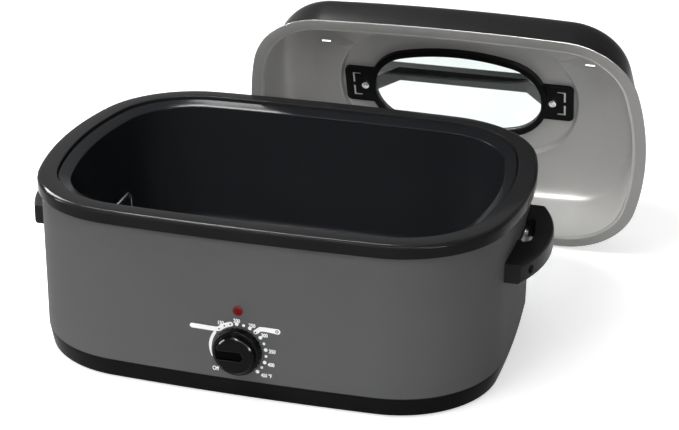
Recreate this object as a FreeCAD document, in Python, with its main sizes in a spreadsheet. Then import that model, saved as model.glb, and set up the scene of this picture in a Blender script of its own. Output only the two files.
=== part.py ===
import FreeCAD, Part
import Sketcher
import math
import os

# Electric roaster oven, millimetres. +X to the right, -Y towards the control knob, +Z up.
# The origin is on the resting plane, under the centre of the cooking well.
# The lid stands on its long edge behind the oven, with its inside facing forward.

document = FreeCAD.newDocument("RoasterOven")
sheet = document.addObject("Spreadsheet::Sheet", "Sizes")

SIZES = {
    # plan outline of the rim: two long flat arcs, two end arcs and four corner arcs
    "rim_half_length": 275.0,
    "rim_half_width": 196.0,
    "side_arc_radius": 3107.0,
    "end_arc_radius": 414.0,
    "corner_arc_radius": 123.5,
    # heights above the resting plane
    "rim_top": 203.0,
    "ring_bottom": 2.0,
    "ring_top": 24.0,
    # base ring, bottom plate and feet
    "ring_flare": 4.0,
    "ring_ledge_width": 14.0,
    "ring_wall": 7.0,
    "ledge_height": 5.0,
    "sheet_gauge": 1.5,
    "foot_radius": 12.0,
    "foot_along": 170.0,
    "foot_across": 105.0,
    "seat_gap": 0.3,
    "base_screw_shank": 2.0,
    "base_screw_head": 4.0,
    "base_screw_head_height": 2.0,
    "screw_hole_gap": 0.3,
    # housing and collar
    "rim_overhang": 4.5,
    "end_set_back": 6.5,
    "wall_end_radius": 1500.0,
    "collar_gauge": 2.0,
    "collar_skirt": 15.0,
    "collar_flat": 22.0,
    "collar_edge_radius": 4.5,
    "pan_seat_depth": 11.5,
    "pan_seat_width": 12.0,
    # cooking well
    "liner_inset": 32.5,
    "liner_bottom": 36.0,
    "liner_flange": 5.0,
    "band_bottom": 100.0,
    "band_height": 45.0,
    "band_gauge": 2.0,
    "wrap_bottom": 66.0,
    "wrap_top": 184.0,
    "wrap_thickness": 12.0,
    "wrap_window_half_width": 42.0,
    "wrap_window_top": 126.0,
    "shield_inset": 52.0,
    "shield_top": 27.0,
    # roasting pan
    "pan_lip_height": 10.0,
    "pan_lip_gap": 0.6,
    "pan_lip_radius": 2.0,
    "pan_lip_drop": 6.0,
    "pan_mouth_inset": 37.0,
    "pan_gauge": 1.6,
    "pan_floor_height": 8.0,
    "pan_floor_inset": 50.0,
    "pan_floor_chamfer": 8.0,
    # lift-out rack
    "rack_inset": 62.0,
    "rack_wire": 2.5,
    "rack_rod": 1.5,
    "rack_bail_wire": 2.0,
    "rack_rod_pitch": 26.0,
    "rack_weld": 0.8,
    "rack_bail_half_width": 45.0,
    "rack_bail_height": 70.0,
    # control panel
    "dial_height": 59.5,
    "lamp_above_dial": 47.0,
    "shaft_radius": 3.0,
    "shaft_fit": 0.05,
    "shaft_length": 24.0,
    "bushing_radius": 4.8,
    "bushing_reach": 2.5,
    "panel_hole_gap": 0.4,
    "thermostat_half_size": 17.0,
    "thermostat_depth": 17.0,
    "bracket_half_width": 30.0,
    "knob_gap": 1.2,
    "knob_radius": 27.0,
    "knob_skirt": 8.0,
    "knob_skirt_taper": 1.2,
    "knob_face_radius": 21.5,
    "knob_face_flare": 1.8,
    "knob_face_bevel": 1.6,
    "knob_face_crown": 1.0,
    "knob_depth": 15.5,
    "knob_wall": 2.5,
    "knob_hub_radius": 6.5,
    "knob_hub_cap": 1.2,
    "knob_rib_count": 30.0,
    "knob_rib_radius": 1.6,
    "knob_slot_half_width": 5.5,
    "knob_slot_depth": 5.0,
    "knob_slot_past_centre": 7.0,
    "knob_slot_point": 3.0,
    "knob_rest_turn": 1.0,
    "clip_thickness": 0.9,
    "lens_radius": 5.5,
    "lens_proud": 2.5,
    "lamp_radius": 4.0,
    "lamp_length": 11.0,
    # side handles
    "handle_bottom": 125.0,
    "handle_height": 22.0,
    "handle_half_span": 82.0,
    "handle_stand_off": 24.0,
    "handle_bow_radius": 178.0,
    "handle_grip": 20.0,
    "handle_post_radius": 4.5,
    "handle_post_stand_off": 2.0,
    "handle_screw_reach": 17.0,
    "handle_cut_reach": 60.0,
    "handle_gap_near": 22.0,
    "handle_gap_far": 46.0,
    "handle_gap_round": 13.0,
    "handle_edge_radius": 3.0,
    "handle_screw_across": 64.0,
    "handle_screw_shank": 2.0,
    "handle_screw_head": 4.0,
    "handle_screw_head_height": 2.6,
    "handle_screw_well": 5.0,
    "strap_half_height": 6.0,
    "strap_gauge": 1.5,
    "strap_end_gap": 8.0,
    "strap_screw_near": 5.0,
    "strap_screw_far": 30.0,
    # mains entry
    "gland_height": 44.0,
    "gland_radius": 8.0,
    "gland_collar": 11.0,
    "gland_collar_depth": 5.0,
    "gland_bore": 3.6,
    "gland_inner_depth": 10.0,
    "terminal_length": 40.0,
    "terminal_depth": 16.0,
    "terminal_height": 12.0,
    # lid, in its own frame: x along, y towards the edge it stands on, z out through the dome
    "lid_inset": 29.0,
    "lid_flange": 14.5,
    "lid_gauge": 1.6,
    "lid_shoulder": 64.0,
    "lid_crown": 90.0,
    "oval_half_length": 154.0,
    "oval_half_width": 103.0,
    "oval_step": 3.0,
    "oval_side_radius": 300.0,
    "oval_end_radius": 100.0,
    "oval_corner_radius": 80.0,
    "window_half_length": 106.0,
    "window_half_width": 60.0,
    "window_side_radius": 260.0,
    "window_end_radius": 70.0,
    "window_corner_radius": 50.0,
    "window_hole_gap": 1.0,
    "gasket_gap": 0.5,
    "glass_lap": 4.0,
    "glass_thickness": 4.0,
    "gasket_thickness": 1.5,
    "frame_lip": 2.0,
    "frame_rim": 3.5,
    "plate_half_width": 27.0,
    "plate_from": 103.0,
    "plate_to": 146.0,
    "plate_thickness": 4.0,
    "plate_corner_radius": 7.0,
    "outer_plate_margin": 4.0,
    "slot_width": 2.4,
    "slot_along": 135.0,
    "slot_half_span": 18.0,
    "slot_arm": 10.0,
    "slot_bridge_half": 2.5,
    "outer_frame_height": 2.5,
    "lid_screw_along": 120.0,
    "lid_screw_shank": 2.2,
    "lid_screw_head": 4.6,
    "lid_screw_head_height": 2.4,
    "lid_screw_bite": 12.0,
    "bail_half_width": 11.0,
    "bail_height": 34.0,
    "bail_foot": 28.0,
    "bail_bar": 12.0,
    "bail_slope": 24.0,
    "vent_along": 166.0,
    "vent_across": 67.0,
    "vent_length": 12.0,
    "vent_width": 4.0,
    "lid_cut_reach": 20.0,
    # where the lid stands
    "lid_lean": 20.0,
    "lid_offset": 127.0,
    "lid_stand_back": 292.0,
}

for row, (alias, number) in enumerate(SIZES.items(), start=1):
    sheet.set("A%d" % row, alias)
    sheet.set("B%d" % row, str(number))
    sheet.setAlias("B%d" % row, alias)
document.recompute()

pieces = []


def size(expression):
    """The number that an expression on the size sheet gives."""
    result = sheet.evalExpression(bound(expression))
    return float(getattr(result, "Value", result))


def bound(expression):
    """The expression with each size name bound to its cell."""
    text = expression
    for alias in sorted(SIZES, key=len, reverse=True):
        text = text.replace(alias, "<<%d>>" % list(SIZES).index(alias))
    for index, alias in enumerate(SIZES):
        text = text.replace("<<%d>>" % index, "Sizes." + alias)
    return text


def drive(feature, path, expression):
    feature.setExpression(path, bound(expression))


def new_body(label):
    body = document.addObject("PartDesign::Body", label)
    body.Label = label
    pieces.append(body)
    return body


def base_plane(body, role):
    for feature in body.Origin.OriginFeatures:
        if feature.Role == role:
            return feature
    raise ValueError(role)


def new_sketch(body, name, role="XY_Plane", offset="0"):
    """A sketch on one of the body's base planes, moved along that plane's normal."""
    sketch = body.newObject("Sketcher::SketchObject", name)
    sketch.AttachmentSupport = [(base_plane(body, role), "")]
    sketch.MapMode = "FlatFace"
    drive(sketch, "AttachmentOffset.Base.z", offset)
    return sketch


def hold(sketch, kind, references, expression):
    """A driving dimension tied to the size sheet."""
    index = sketch.addConstraint(Sketcher.Constraint(kind, *references, size(expression)))
    drive(sketch, "Constraints[%d]" % index, expression)


# how a sketch constraint names its axes and the points of a line or an arc
X_AXIS, Y_AXIS = range(-1, -3, -1)
ORIGIN = X_AXIS
START, END, CENTRE = range(1, 4)


def pin(sketch, geometry, point, along, across):
    """Fix a point of the sketch by two signed distances from the sketch's origin."""
    hold(sketch, "DistanceX", (ORIGIN, START, geometry, point), along)
    hold(sketch, "DistanceY", (ORIGIN, START, geometry, point), across)


def polygon(body, name, corners, role="XY_Plane", offset="0"):
    """A closed outline of straight lines, each corner driven by the size sheet."""
    sketch = new_sketch(body, name, role, offset)
    points = [FreeCAD.Vector(size(x), size(y), 0) for x, y in corners]
    count = len(points)
    for index in range(count):
        sketch.addGeometry(Part.LineSegment(points[index], points[(index + 1) % count]))
    for index in range(count):
        follower = (index + 1) % count
        sketch.addConstraint(Sketcher.Constraint("Coincident", index, END, follower, START))
    for index, (x, y) in enumerate(corners):
        pin(sketch, index, START, x, y)
    return sketch


def circles(body, name, centres, radius, role="XY_Plane", offset="0"):
    sketch = new_sketch(body, name, role, offset)
    for index, (x, y) in enumerate(centres):
        middle = FreeCAD.Vector(size(x), size(y), 0)
        sketch.addGeometry(Part.Circle(middle, FreeCAD.Vector(0, 0, 1), size(radius)))
        pin(sketch, index, CENTRE, x, y)
        hold(sketch, "Radius", (index,), radius)
    return sketch


def corner_centre(side_centre, end_centre, side_reach, end_reach):
    """The centre at side_reach from (0, side_centre) and end_reach from (end_centre, 0)."""
    start = FreeCAD.Vector(0, side_centre, 0)
    finish = FreeCAD.Vector(end_centre, 0, 0)
    between = finish - start
    span = between.Length
    along = (side_reach ** 2 - end_reach ** 2 + span ** 2) / (2 * span)
    across = math.sqrt(side_reach ** 2 - along ** 2)
    unit = between / span
    normal = FreeCAD.Vector(-unit.y, unit.x, 0)
    choices = [start + unit * along + normal * across, start + unit * along - normal * across]
    return max(choices, key=lambda point: point.x - point.y)


def arc(centre, radius, first, last):
    """A counter-clockwise arc round centre, from the direction of first to that of last."""
    begin = math.atan2(first.y - centre.y, first.x - centre.x)
    finish = math.atan2(last.y - centre.y, last.x - centre.x)
    if finish <= begin:
        finish += 2 * math.pi
    circle = Part.Circle(centre, FreeCAD.Vector(0, 0, 1), radius)
    return Part.ArcOfCircle(circle, begin, finish)


def oval(body, name, half_length, half_width, side, end, corner, offset="0"):
    """An eight-arc oval: two side arcs, two end arcs and four corner arcs, all tangent."""
    sketch = new_sketch(body, name, "XY_Plane", offset)
    side_radius = size(side)
    end_radius = size(end)
    corner_radius = size(corner)
    side_centre = side_radius - size(half_width)
    end_centre = size(half_length) - end_radius
    front_right = corner_centre(side_centre, end_centre, side_radius - corner_radius,
                                end_radius - corner_radius)
    front = FreeCAD.Vector(0, side_centre, 0)
    right = FreeCAD.Vector(end_centre, 0, 0)
    front_join = front + (front_right - front).normalize() * side_radius
    right_join = right + (front_right - right).normalize() * end_radius

    def mirrored(point, across_x, across_y):
        return FreeCAD.Vector(point.x * across_x, point.y * across_y, 0)

    rear = mirrored(front, 1, -1)
    left = mirrored(right, -1, 1)
    arcs = [
        (front, side_radius, mirrored(front_join, -1, 1), front_join),
        (front_right, corner_radius, front_join, right_join),
        (right, end_radius, right_join, mirrored(right_join, 1, -1)),
        (mirrored(front_right, 1, -1), corner_radius,
         mirrored(right_join, 1, -1), mirrored(front_join, 1, -1)),
        (rear, side_radius, mirrored(front_join, 1, -1), mirrored(front_join, -1, -1)),
        (mirrored(front_right, -1, -1), corner_radius,
         mirrored(front_join, -1, -1), mirrored(right_join, -1, -1)),
        (left, end_radius, mirrored(right_join, -1, -1), mirrored(right_join, -1, 1)),
        (mirrored(front_right, -1, 1), corner_radius,
         mirrored(right_join, -1, 1), mirrored(front_join, -1, 1)),
    ]
    for centre, radius, first, last in arcs:
        sketch.addGeometry(arc(centre, radius, first, last))
    for index in range(8):
        sketch.addConstraint(Sketcher.Constraint("Tangent", index, END, (index + 1) % 8, START))
    for index in (0, 4):
        sketch.addConstraint(Sketcher.Constraint("PointOnObject", index, CENTRE, Y_AXIS))
        hold(sketch, "Radius", (index,), side)
    for index in (2, 6):
        sketch.addConstraint(Sketcher.Constraint("PointOnObject", index, CENTRE, X_AXIS))
        hold(sketch, "Radius", (index,), end)
    for index in (1, 3, 5, 7):
        hold(sketch, "Radius", (index,), corner)
    hold(sketch, "DistanceY", (ORIGIN, START, 0, CENTRE), "(%s) - (%s)" % (side, half_width))
    hold(sketch, "DistanceY", (4, CENTRE, ORIGIN, START), "(%s) - (%s)" % (side, half_width))
    hold(sketch, "DistanceX", (2, CENTRE, ORIGIN, START), "(%s) - (%s)" % (end, half_length))
    hold(sketch, "DistanceX", (ORIGIN, START, 6, CENTRE), "(%s) - (%s)" % (end, half_length))
    return sketch


RIM_PLAN = ("rim_half_length", "end_arc_radius")
WALL_PLAN = ("rim_half_length - end_set_back", "wall_end_radius")


def rim_oval(body, name, inset, offset="0", plan=RIM_PLAN):
    """The rim's outline moved inwards by inset; the walls' plan has flatter ends, set back."""
    half_length, end_radius = plan
    return oval(body, name, "%s - (%s)" % (half_length, inset), "rim_half_width - (%s)" % inset,
                "side_arc_radius - (%s)" % inset, "%s - (%s)" % (end_radius, inset),
                "corner_arc_radius - (%s)" % inset, offset)


def pad(body, sketch, length, upwards=True):
    feature = body.newObject("PartDesign::Pad", sketch.Name + "_pad")
    feature.Profile = sketch
    drive(feature, "Length", length)
    feature.Reversed = not upwards
    sketch.Visibility = False
    document.recompute()
    return feature


def pocket(body, sketch, length, upwards=True):
    """Cut along the sketch's normal when upwards, against it otherwise."""
    before = body.Shape.Volume
    feature = body.newObject("PartDesign::Pocket", sketch.Name + "_pocket")
    feature.Profile = sketch
    drive(feature, "Length", length)
    feature.Reversed = upwards
    document.recompute()
    if body.Shape.Volume >= before:
        raise ValueError("%s cuts nothing" % feature.Name)
    return feature


def loft(body, sketches, ruled, cut=False):
    kind = "PartDesign::SubtractiveLoft" if cut else "PartDesign::AdditiveLoft"
    feature = body.newObject(kind, sketches[0].Name + "_loft")
    feature.Profile = sketches[0]
    feature.Sections = sketches[1:]
    feature.Ruled = ruled
    document.recompute()
    return feature


def pipe(body, profile, spine):
    feature = body.newObject("PartDesign::AdditivePipe", profile.Name + "_pipe")
    feature.Profile = profile
    feature.Spine = (spine, [])
    document.recompute()
    return feature


def revolve(body, sketch, cut=False):
    """Turn a profile drawn on the XZ plane once round the body's Z axis."""
    kind = "PartDesign::Groove" if cut else "PartDesign::Revolution"
    feature = body.newObject(kind, sketch.Name + "_turn")
    feature.Profile = sketch
    feature.ReferenceAxis = (sketch, ["V_Axis"])
    feature.Angle = 360.0
    document.recompute()
    return feature


def round_edges(body, radius, wanted):
    """Round every edge of the body's last feature for which wanted(edge) is true."""
    base = body.Tip
    names = []
    for index, edge in enumerate(base.Shape.Edges, start=1):
        if wanted(edge):
            names.append("Edge%d" % index)
    feature = body.newObject("PartDesign::Fillet", body.Label + "_round")
    feature.Base = (base, names)
    drive(feature, "Radius", radius)
    document.recompute()
    return feature


def level(edge, height):
    """True where the whole edge lies at one height."""
    box = edge.BoundBox
    return abs(box.ZMin - height) < 0.01 and abs(box.ZMax - height) < 0.01


def at_end(inset, height):
    """Picks the edge that crosses the X axis at inset from the rim, at one height."""
    reach = size("rim_half_length - (%s)" % inset)
    ceiling = size(height)
    return lambda edge: level(edge, ceiling) and abs(edge.BoundBox.XMax - reach) < 0.01


def oval_ring(label, outer, inner, bottom, height, plan=RIM_PLAN):
    """A straight wall between two insets of an outline."""
    body = new_body(label)
    pad(body, rim_oval(body, label + "_outside", outer, bottom, plan), height)
    pocket(body, rim_oval(body, label + "_inside", inner, bottom, plan), height)
    return body


def swept(label, section, plan=RIM_PLAN):
    """A section of (inset, height) corners carried round an outline."""
    body = new_body(label)
    path = rim_oval(body, label + "_path", "0", plan=plan)
    corners = [("%s - (%s)" % (plan[0], inset), height) for inset, height in section]
    pipe(body, polygon(body, label + "_section", corners, "XZ_Plane"), path)
    return body


def place(piece, x, y, z):
    drive(piece, "Placement.Base.x", x)
    drive(piece, "Placement.Base.y", y)
    drive(piece, "Placement.Base.z", z)


# ---- base ---------------------------------------------------------------------------------

RING_INSIDE = "rim_overhang + ring_wall"
LEDGE_TOP = "ring_bottom + ledge_height"
PLATE_TOP = "ring_bottom + ledge_height + sheet_gauge"
SCREW_INSET = "rim_overhang + ring_wall + ring_ledge_width / 2"
BASE_SCREWS = [
    ("rim_half_length - end_set_back - (%s)" % SCREW_INSET, "0"),
    ("-(rim_half_length - end_set_back - (%s))" % SCREW_INSET, "0"),
    ("0", "rim_half_width - (%s)" % SCREW_INSET),
    ("0", "-(rim_half_width - (%s))" % SCREW_INSET),
]


def make_base_ring():
    ledge_edge = "%s + ring_ledge_width" % RING_INSIDE
    body = swept("base_ring", [
        ("rim_overhang + ring_flare", "ring_bottom"),
        ("rim_overhang", "ring_top"),
        (RING_INSIDE, "ring_top"),
        (RING_INSIDE, LEDGE_TOP),
        (ledge_edge, LEDGE_TOP),
        (ledge_edge, "ring_bottom"),
    ], WALL_PLAN)
    holes = circles(body, "ring_screw_holes", BASE_SCREWS, "base_screw_shank + screw_hole_gap",
                    offset="ring_bottom")
    pocket(body, holes, "ledge_height")
    wells = circles(body, "ring_screw_wells", BASE_SCREWS, "base_screw_head + screw_hole_gap",
                    offset="ring_bottom")
    pocket(body, wells, "base_screw_head_height")


def make_bottom_plate():
    body = new_body("bottom_plate")
    outline = rim_oval(body, "bottom_outline", RING_INSIDE + " + seat_gap", LEDGE_TOP, WALL_PLAN)
    pad(body, outline, "sheet_gauge")
    holes = circles(body, "bottom_screw_holes", BASE_SCREWS, "base_screw_shank + screw_hole_gap",
                    offset=LEDGE_TOP)
    pocket(body, holes, "sheet_gauge")


def upright_cylinder(name, radius, bottom, height, x, y):
    cylinder = document.addObject("Part::Cylinder", name)
    drive(cylinder, "Radius", radius)
    drive(cylinder, "Height", height)
    place(cylinder, x, y, bottom)
    return cylinder


def fused(label, shapes):
    """One node of several solids; those that meet become one."""
    group = document.addObject("Part::MultiFuse", label)
    group.Label = label
    group.Shapes = shapes
    pieces.append(group)
    return group


def make_base_screws():
    parts = []
    for index, (x, y) in enumerate(BASE_SCREWS, start=1):
        parts.append(upright_cylinder("base_screw_head_%d" % index, "base_screw_head",
                                      "ring_bottom", "base_screw_head_height", x, y))
        parts.append(upright_cylinder("base_screw_shank_%d" % index, "base_screw_shank",
                                      "ring_bottom", "ledge_height + 2 * sheet_gauge", x, y))
    fused("base_screws", parts)


def make_foot(label, side, end):
    """A rubber foot that hangs from the bottom plate and stands on the floor."""
    body = new_body(label)
    profile = polygon(body, label + "_profile", [
        ("0", "0"),
        ("foot_radius * 0.85", "0"),
        ("foot_radius", LEDGE_TOP),
        ("0", LEDGE_TOP),
    ], "XZ_Plane")
    revolve(body, profile)
    place(body, "%d * foot_along" % side, "%d * foot_across" % end, "0")


def make_heat_shield():
    """An upturned tray on the bottom plate that keeps the well's heat off it."""
    body = new_body("heat_shield")
    outline = rim_oval(body, "shield_outline", "shield_inset", PLATE_TOP)
    pad(body, outline, "shield_top - (%s)" % PLATE_TOP)
    hollow = rim_oval(body, "shield_hollow", "shield_inset + sheet_gauge", PLATE_TOP)
    pocket(body, hollow, "shield_top - sheet_gauge - (%s)" % PLATE_TOP)


def make_terminal_block():
    back = "rim_half_width - shield_inset + 4"
    body = new_body("terminal_block")
    outline = polygon(body, "terminal_outline", [
        ("-terminal_length / 2", back),
        ("terminal_length / 2", back),
        ("terminal_length / 2", "%s + terminal_depth" % back),
        ("-terminal_length / 2", "%s + terminal_depth" % back),
    ], offset=PLATE_TOP)
    pad(body, outline, "terminal_height")


# ---- housing, collar and cooking well ------------------------------------------------------

HALF_TURN = 180
HANDLE_SCREW_HEIGHT = "handle_bottom + handle_height / 2"
HANDLE_SCREWS = [
    ("handle_screw_across", HANDLE_SCREW_HEIGHT),
    ("-handle_screw_across", HANDLE_SCREW_HEIGHT),
]
STRAP_SCREWS = [
    ("strap_screw_far", HANDLE_SCREW_HEIGHT),
    ("-strap_screw_near", HANDLE_SCREW_HEIGHT),
]
STRAP_INSIDE = "rim_overhang - seat_gap"
STRAP_OUTSIDE = "rim_overhang - seat_gap - strap_gauge"
BRACKET_OUTSIDE = "rim_overhang + sheet_gauge + seat_gap"
BRACKET_INSIDE = "rim_overhang + sheet_gauge + seat_gap + strap_gauge"
WALL_END = "rim_half_length - end_set_back - rim_overhang"
STRAP_SCREW_SEAT = ("rim_half_length - end_set_back - wall_end_radius + sqrt((wall_end_radius"
                    " - rim_overhang + seat_gap + strap_gauge)^2"
                    " - (strap_screw_near - handle_screw_head)^2)")
HANDLE_POSTS = [
    (WALL_END + " + handle_post_stand_off", "handle_gap_far"),
    (WALL_END + " + handle_post_stand_off", "-handle_gap_near"),
]
PANEL = "rim_half_width - rim_overhang"
WALL_INSIDE = "rim_overhang + sheet_gauge"
LAMP_HEIGHT = "dial_height + lamp_above_dial"
SEAT = "rim_top - pan_seat_depth"


def make_outer_housing():
    body = oval_ring("outer_housing", "rim_overhang", WALL_INSIDE, "ring_top",
                     "rim_top - collar_gauge - ring_top", WALL_PLAN)
    shaft_hole = circles(body, "shaft_hole", [("0", "dial_height")],
                         "bushing_radius + panel_hole_gap", "XZ_Plane", PANEL + " - 6")
    pocket(body, shaft_hole, "12")
    lamp_hole = circles(body, "lamp_hole", [("0", LAMP_HEIGHT)],
                        "lamp_radius + panel_hole_gap", "XZ_Plane", PANEL + " - 6")
    pocket(body, lamp_hole, "12")
    gland_hole = circles(body, "gland_hole", [("0", "gland_height")],
                         "gland_radius + panel_hole_gap", "XZ_Plane", "6 - (%s)" % PANEL)
    pocket(body, gland_hole, "12", upwards=False)
    screw_holes = circles(body, "handle_screw_holes_right", HANDLE_SCREWS + STRAP_SCREWS,
                          "handle_screw_shank + screw_hole_gap", "YZ_Plane")
    pocket(body, screw_holes, "rim_half_length")
    turned = [("-(%s)" % across, height) for across, height in HANDLE_SCREWS + STRAP_SCREWS]
    screw_holes = circles(body, "handle_screw_holes_left", turned,
                          "handle_screw_shank + screw_hole_gap", "YZ_Plane")
    pocket(body, screw_holes, "rim_half_length", upwards=False)


def make_top_collar():
    """The rim's skirt, its flat top and the sunken seat that carries the pan's lip."""
    body = swept("top_collar", [
        ("0", "rim_top"),
        ("0", "rim_top - collar_skirt"),
        ("collar_gauge", "rim_top - collar_skirt"),
        ("collar_gauge", "rim_top - collar_gauge"),
        ("collar_flat - collar_gauge", "rim_top - collar_gauge"),
        ("collar_flat - collar_gauge", SEAT + " - collar_gauge"),
        ("collar_flat + pan_seat_width", SEAT + " - collar_gauge"),
        ("collar_flat + pan_seat_width", SEAT),
        ("collar_flat", SEAT),
        ("collar_flat", "rim_top"),
    ])
    round_edges(body, "collar_edge_radius", at_end("0", "rim_top"))
    round_edges(body, "collar_gauge / 2", at_end("collar_flat", "rim_top"))


def make_inner_liner():
    flange_top = SEAT + " - collar_gauge"
    inside = "liner_inset + sheet_gauge"
    foot = "liner_inset + 10"
    body = swept("inner_liner", [
        ("liner_inset - liner_flange", flange_top),
        (inside, flange_top),
        (inside, "liner_bottom + 10 + sheet_gauge / 2"),
        (foot + " + sheet_gauge / 2", "liner_bottom + sheet_gauge"),
        (foot, "liner_bottom"),
        ("liner_inset", "liner_bottom + 10"),
        ("liner_inset", flange_top + " - sheet_gauge"),
        ("liner_inset - liner_flange", flange_top + " - sheet_gauge"),
    ])
    pad(body, rim_oval(body, "liner_floor", foot, "liner_bottom"), "sheet_gauge")


BAND_INSIDE = "liner_inset - seat_gap"
BAND_OUTSIDE = "liner_inset - seat_gap - band_gauge"
WRAP_INSIDE = "liner_inset - 2 * seat_gap - band_gauge"


def make_heating_band():
    oval_ring("heating_band", BAND_OUTSIDE, BAND_INSIDE, "band_bottom", "band_height")


def make_insulation_wrap():
    """The wrap round the heated well, cut away behind the control panel."""
    body = oval_ring("insulation_wrap", WRAP_INSIDE + " - wrap_thickness", WRAP_INSIDE,
                     "wrap_bottom", "wrap_top - wrap_bottom")
    window = polygon(body, "wrap_window", [
        ("-wrap_window_half_width", "wrap_bottom - 1"),
        ("wrap_window_half_width", "wrap_bottom - 1"),
        ("wrap_window_half_width", "wrap_window_top"),
        ("-wrap_window_half_width", "wrap_window_top"),
    ], "XZ_Plane", "rim_half_width - (%s) - 10" % WRAP_INSIDE)
    pocket(body, window, "wrap_thickness + 20")


# ---- control panel: pieces in a frame on the panel's face, x right, y up, z outwards --------

def on_panel(body, height="dial_height", turn=0):
    """Put a piece on the panel, turned anticlockwise as seen from the front."""
    upright = FreeCAD.Rotation(0, 0, 90)
    body.Placement = FreeCAD.Placement(FreeCAD.Vector(), upright * FreeCAD.Rotation(turn, 0, 0))
    place(body, "0", "-(%s)" % PANEL, height)


BRACKET_FACE = "-(sheet_gauge + seat_gap)"
THERMOSTAT_FACE = "-(2 * sheet_gauge + seat_gap)"
BUSHING_TIP = "bushing_reach"
HUB_TOP = "knob_depth - knob_slot_depth - knob_hub_cap"


def square(body, name, half_size, offset):
    return polygon(body, name, [
        ("-(%s)" % half_size, "-(%s)" % half_size),
        (half_size, "-(%s)" % half_size),
        (half_size, half_size),
        ("-(%s)" % half_size, half_size),
    ], offset=offset)


def make_thermostat_bracket():
    body = new_body("thermostat_bracket")
    plate = polygon(body, "bracket_plate", [
        ("-bracket_half_width", "ring_top + 2 - dial_height"),
        ("bracket_half_width", "ring_top + 2 - dial_height"),
        ("bracket_half_width", "thermostat_half_size + 6"),
        ("-bracket_half_width", "thermostat_half_size + 6"),
    ], offset=BRACKET_FACE)
    pad(body, plate, "sheet_gauge", upwards=False)
    hole = circles(body, "bracket_hole", [("0", "0")], "bushing_radius + panel_hole_gap",
                   offset=BRACKET_FACE)
    pocket(body, hole, "sheet_gauge", upwards=False)
    on_panel(body)


def make_thermostat():
    body = new_body("thermostat")
    pad(body, square(body, "thermostat_case", "thermostat_half_size", THERMOSTAT_FACE),
        "thermostat_depth", upwards=False)
    bushing = circles(body, "thermostat_bushing", [("0", "0")], "bushing_radius",
                      offset=THERMOSTAT_FACE)
    pad(body, bushing, "%s - (%s)" % (BUSHING_TIP, THERMOSTAT_FACE))
    bore = circles(body, "thermostat_bore", [("0", "0")], "shaft_radius + shaft_fit",
                   offset=BUSHING_TIP)
    pocket(body, bore, "shaft_length - (%s) + %s + seat_gap" % (HUB_TOP, BUSHING_TIP),
           upwards=False)
    on_panel(body)


def make_knob_shaft():
    body = new_body("knob_shaft")
    outline = circles(body, "shaft_outline", [("0", "0")], "shaft_radius", offset=HUB_TOP)
    pad(body, outline, "shaft_length", upwards=False)
    on_panel(body)


def make_knob():
    """A hollow knob with a ribbed skirt and a finger slot that points at the dial."""
    body = new_body("knob")
    hub_foot = BUSHING_TIP + " + seat_gap"
    profile = polygon(body, "knob_profile", [
        ("shaft_radius", hub_foot),
        ("knob_hub_radius", hub_foot),
        ("knob_hub_radius", "knob_gap + knob_skirt - knob_wall"),
        ("knob_radius - knob_wall", "knob_gap + knob_skirt - knob_wall"),
        ("knob_radius - knob_wall", "knob_gap"),
        ("knob_radius", "knob_gap"),
        ("knob_radius", "knob_gap + knob_skirt / 4"),
        ("knob_radius - knob_skirt_taper", "knob_gap + knob_skirt"),
        ("knob_face_radius + knob_face_flare", "knob_gap + knob_skirt + knob_face_crown"),
        ("knob_face_radius", "knob_depth - knob_face_bevel"),
        ("knob_face_radius - knob_face_bevel", "knob_depth"),
        ("0", "knob_depth + knob_face_crown"),
        ("0", HUB_TOP),
        ("shaft_radius", HUB_TOP),
    ], "XZ_Plane")
    revolve(body, profile)
    notch = circles(body, "knob_notch", [("knob_radius + knob_rib_radius / 2", "0")],
                    "knob_rib_radius")
    cut = pocket(body, notch, "knob_gap + knob_skirt + knob_face_crown / 2")
    ribs = body.newObject("PartDesign::PolarPattern", "knob_ribs")
    ribs.Originals = [cut]
    ribs.Axis = (base_plane(body, "Z_Axis"), [""])
    ribs.Angle = 360.0
    drive(ribs, "Occurrences", "knob_rib_count")
    body.Tip = ribs
    document.recompute()
    slot = polygon(body, "knob_slot", [
        ("-2 * knob_radius", "-knob_slot_half_width"),
        ("knob_slot_past_centre", "-knob_slot_half_width"),
        ("knob_slot_past_centre + knob_slot_point", "0"),
        ("knob_slot_past_centre", "knob_slot_half_width"),
        ("-2 * knob_radius", "knob_slot_half_width"),
    ], offset="knob_depth - knob_slot_depth")
    pocket(body, slot, "2 * knob_slot_depth")
    on_panel(body, turn=size("knob_rest_turn"))


def make_knob_clip():
    """The spring clip round the shaft at the foot of the knob's hub."""
    body = new_body("knob_clip")
    foot = BUSHING_TIP + " + seat_gap + 1"
    outside = circles(body, "clip_outside", [("0", "0")],
                      "knob_hub_radius + seat_gap / 10 + clip_thickness", offset=foot)
    pad(body, outside, "2.4")
    inside = circles(body, "clip_inside", [("0", "0")], "knob_hub_radius + seat_gap / 10",
                     offset=foot)
    pocket(body, inside, "2.4")
    on_panel(body)


def make_indicator_lens():
    body = new_body("indicator_lens")
    profile = polygon(body, "lens_profile", [
        ("0", "-2 * sheet_gauge"),
        ("lamp_radius", "-2 * sheet_gauge"),
        ("lamp_radius", "0"),
        ("lens_radius", "0"),
        ("lens_radius", "lens_proud / 3"),
        ("lens_radius * 0.75", "lens_proud * 0.85"),
        ("0", "lens_proud"),
    ], "XZ_Plane")
    revolve(body, profile)
    on_panel(body, LAMP_HEIGHT)


def make_indicator_lamp():
    body = new_body("indicator_lamp")
    outline = circles(body, "lamp_outline", [("0", "0")], "lens_radius",
                      offset="-2 * sheet_gauge")
    pad(body, outline, "lamp_length", upwards=False)
    on_panel(body, LAMP_HEIGHT)


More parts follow.
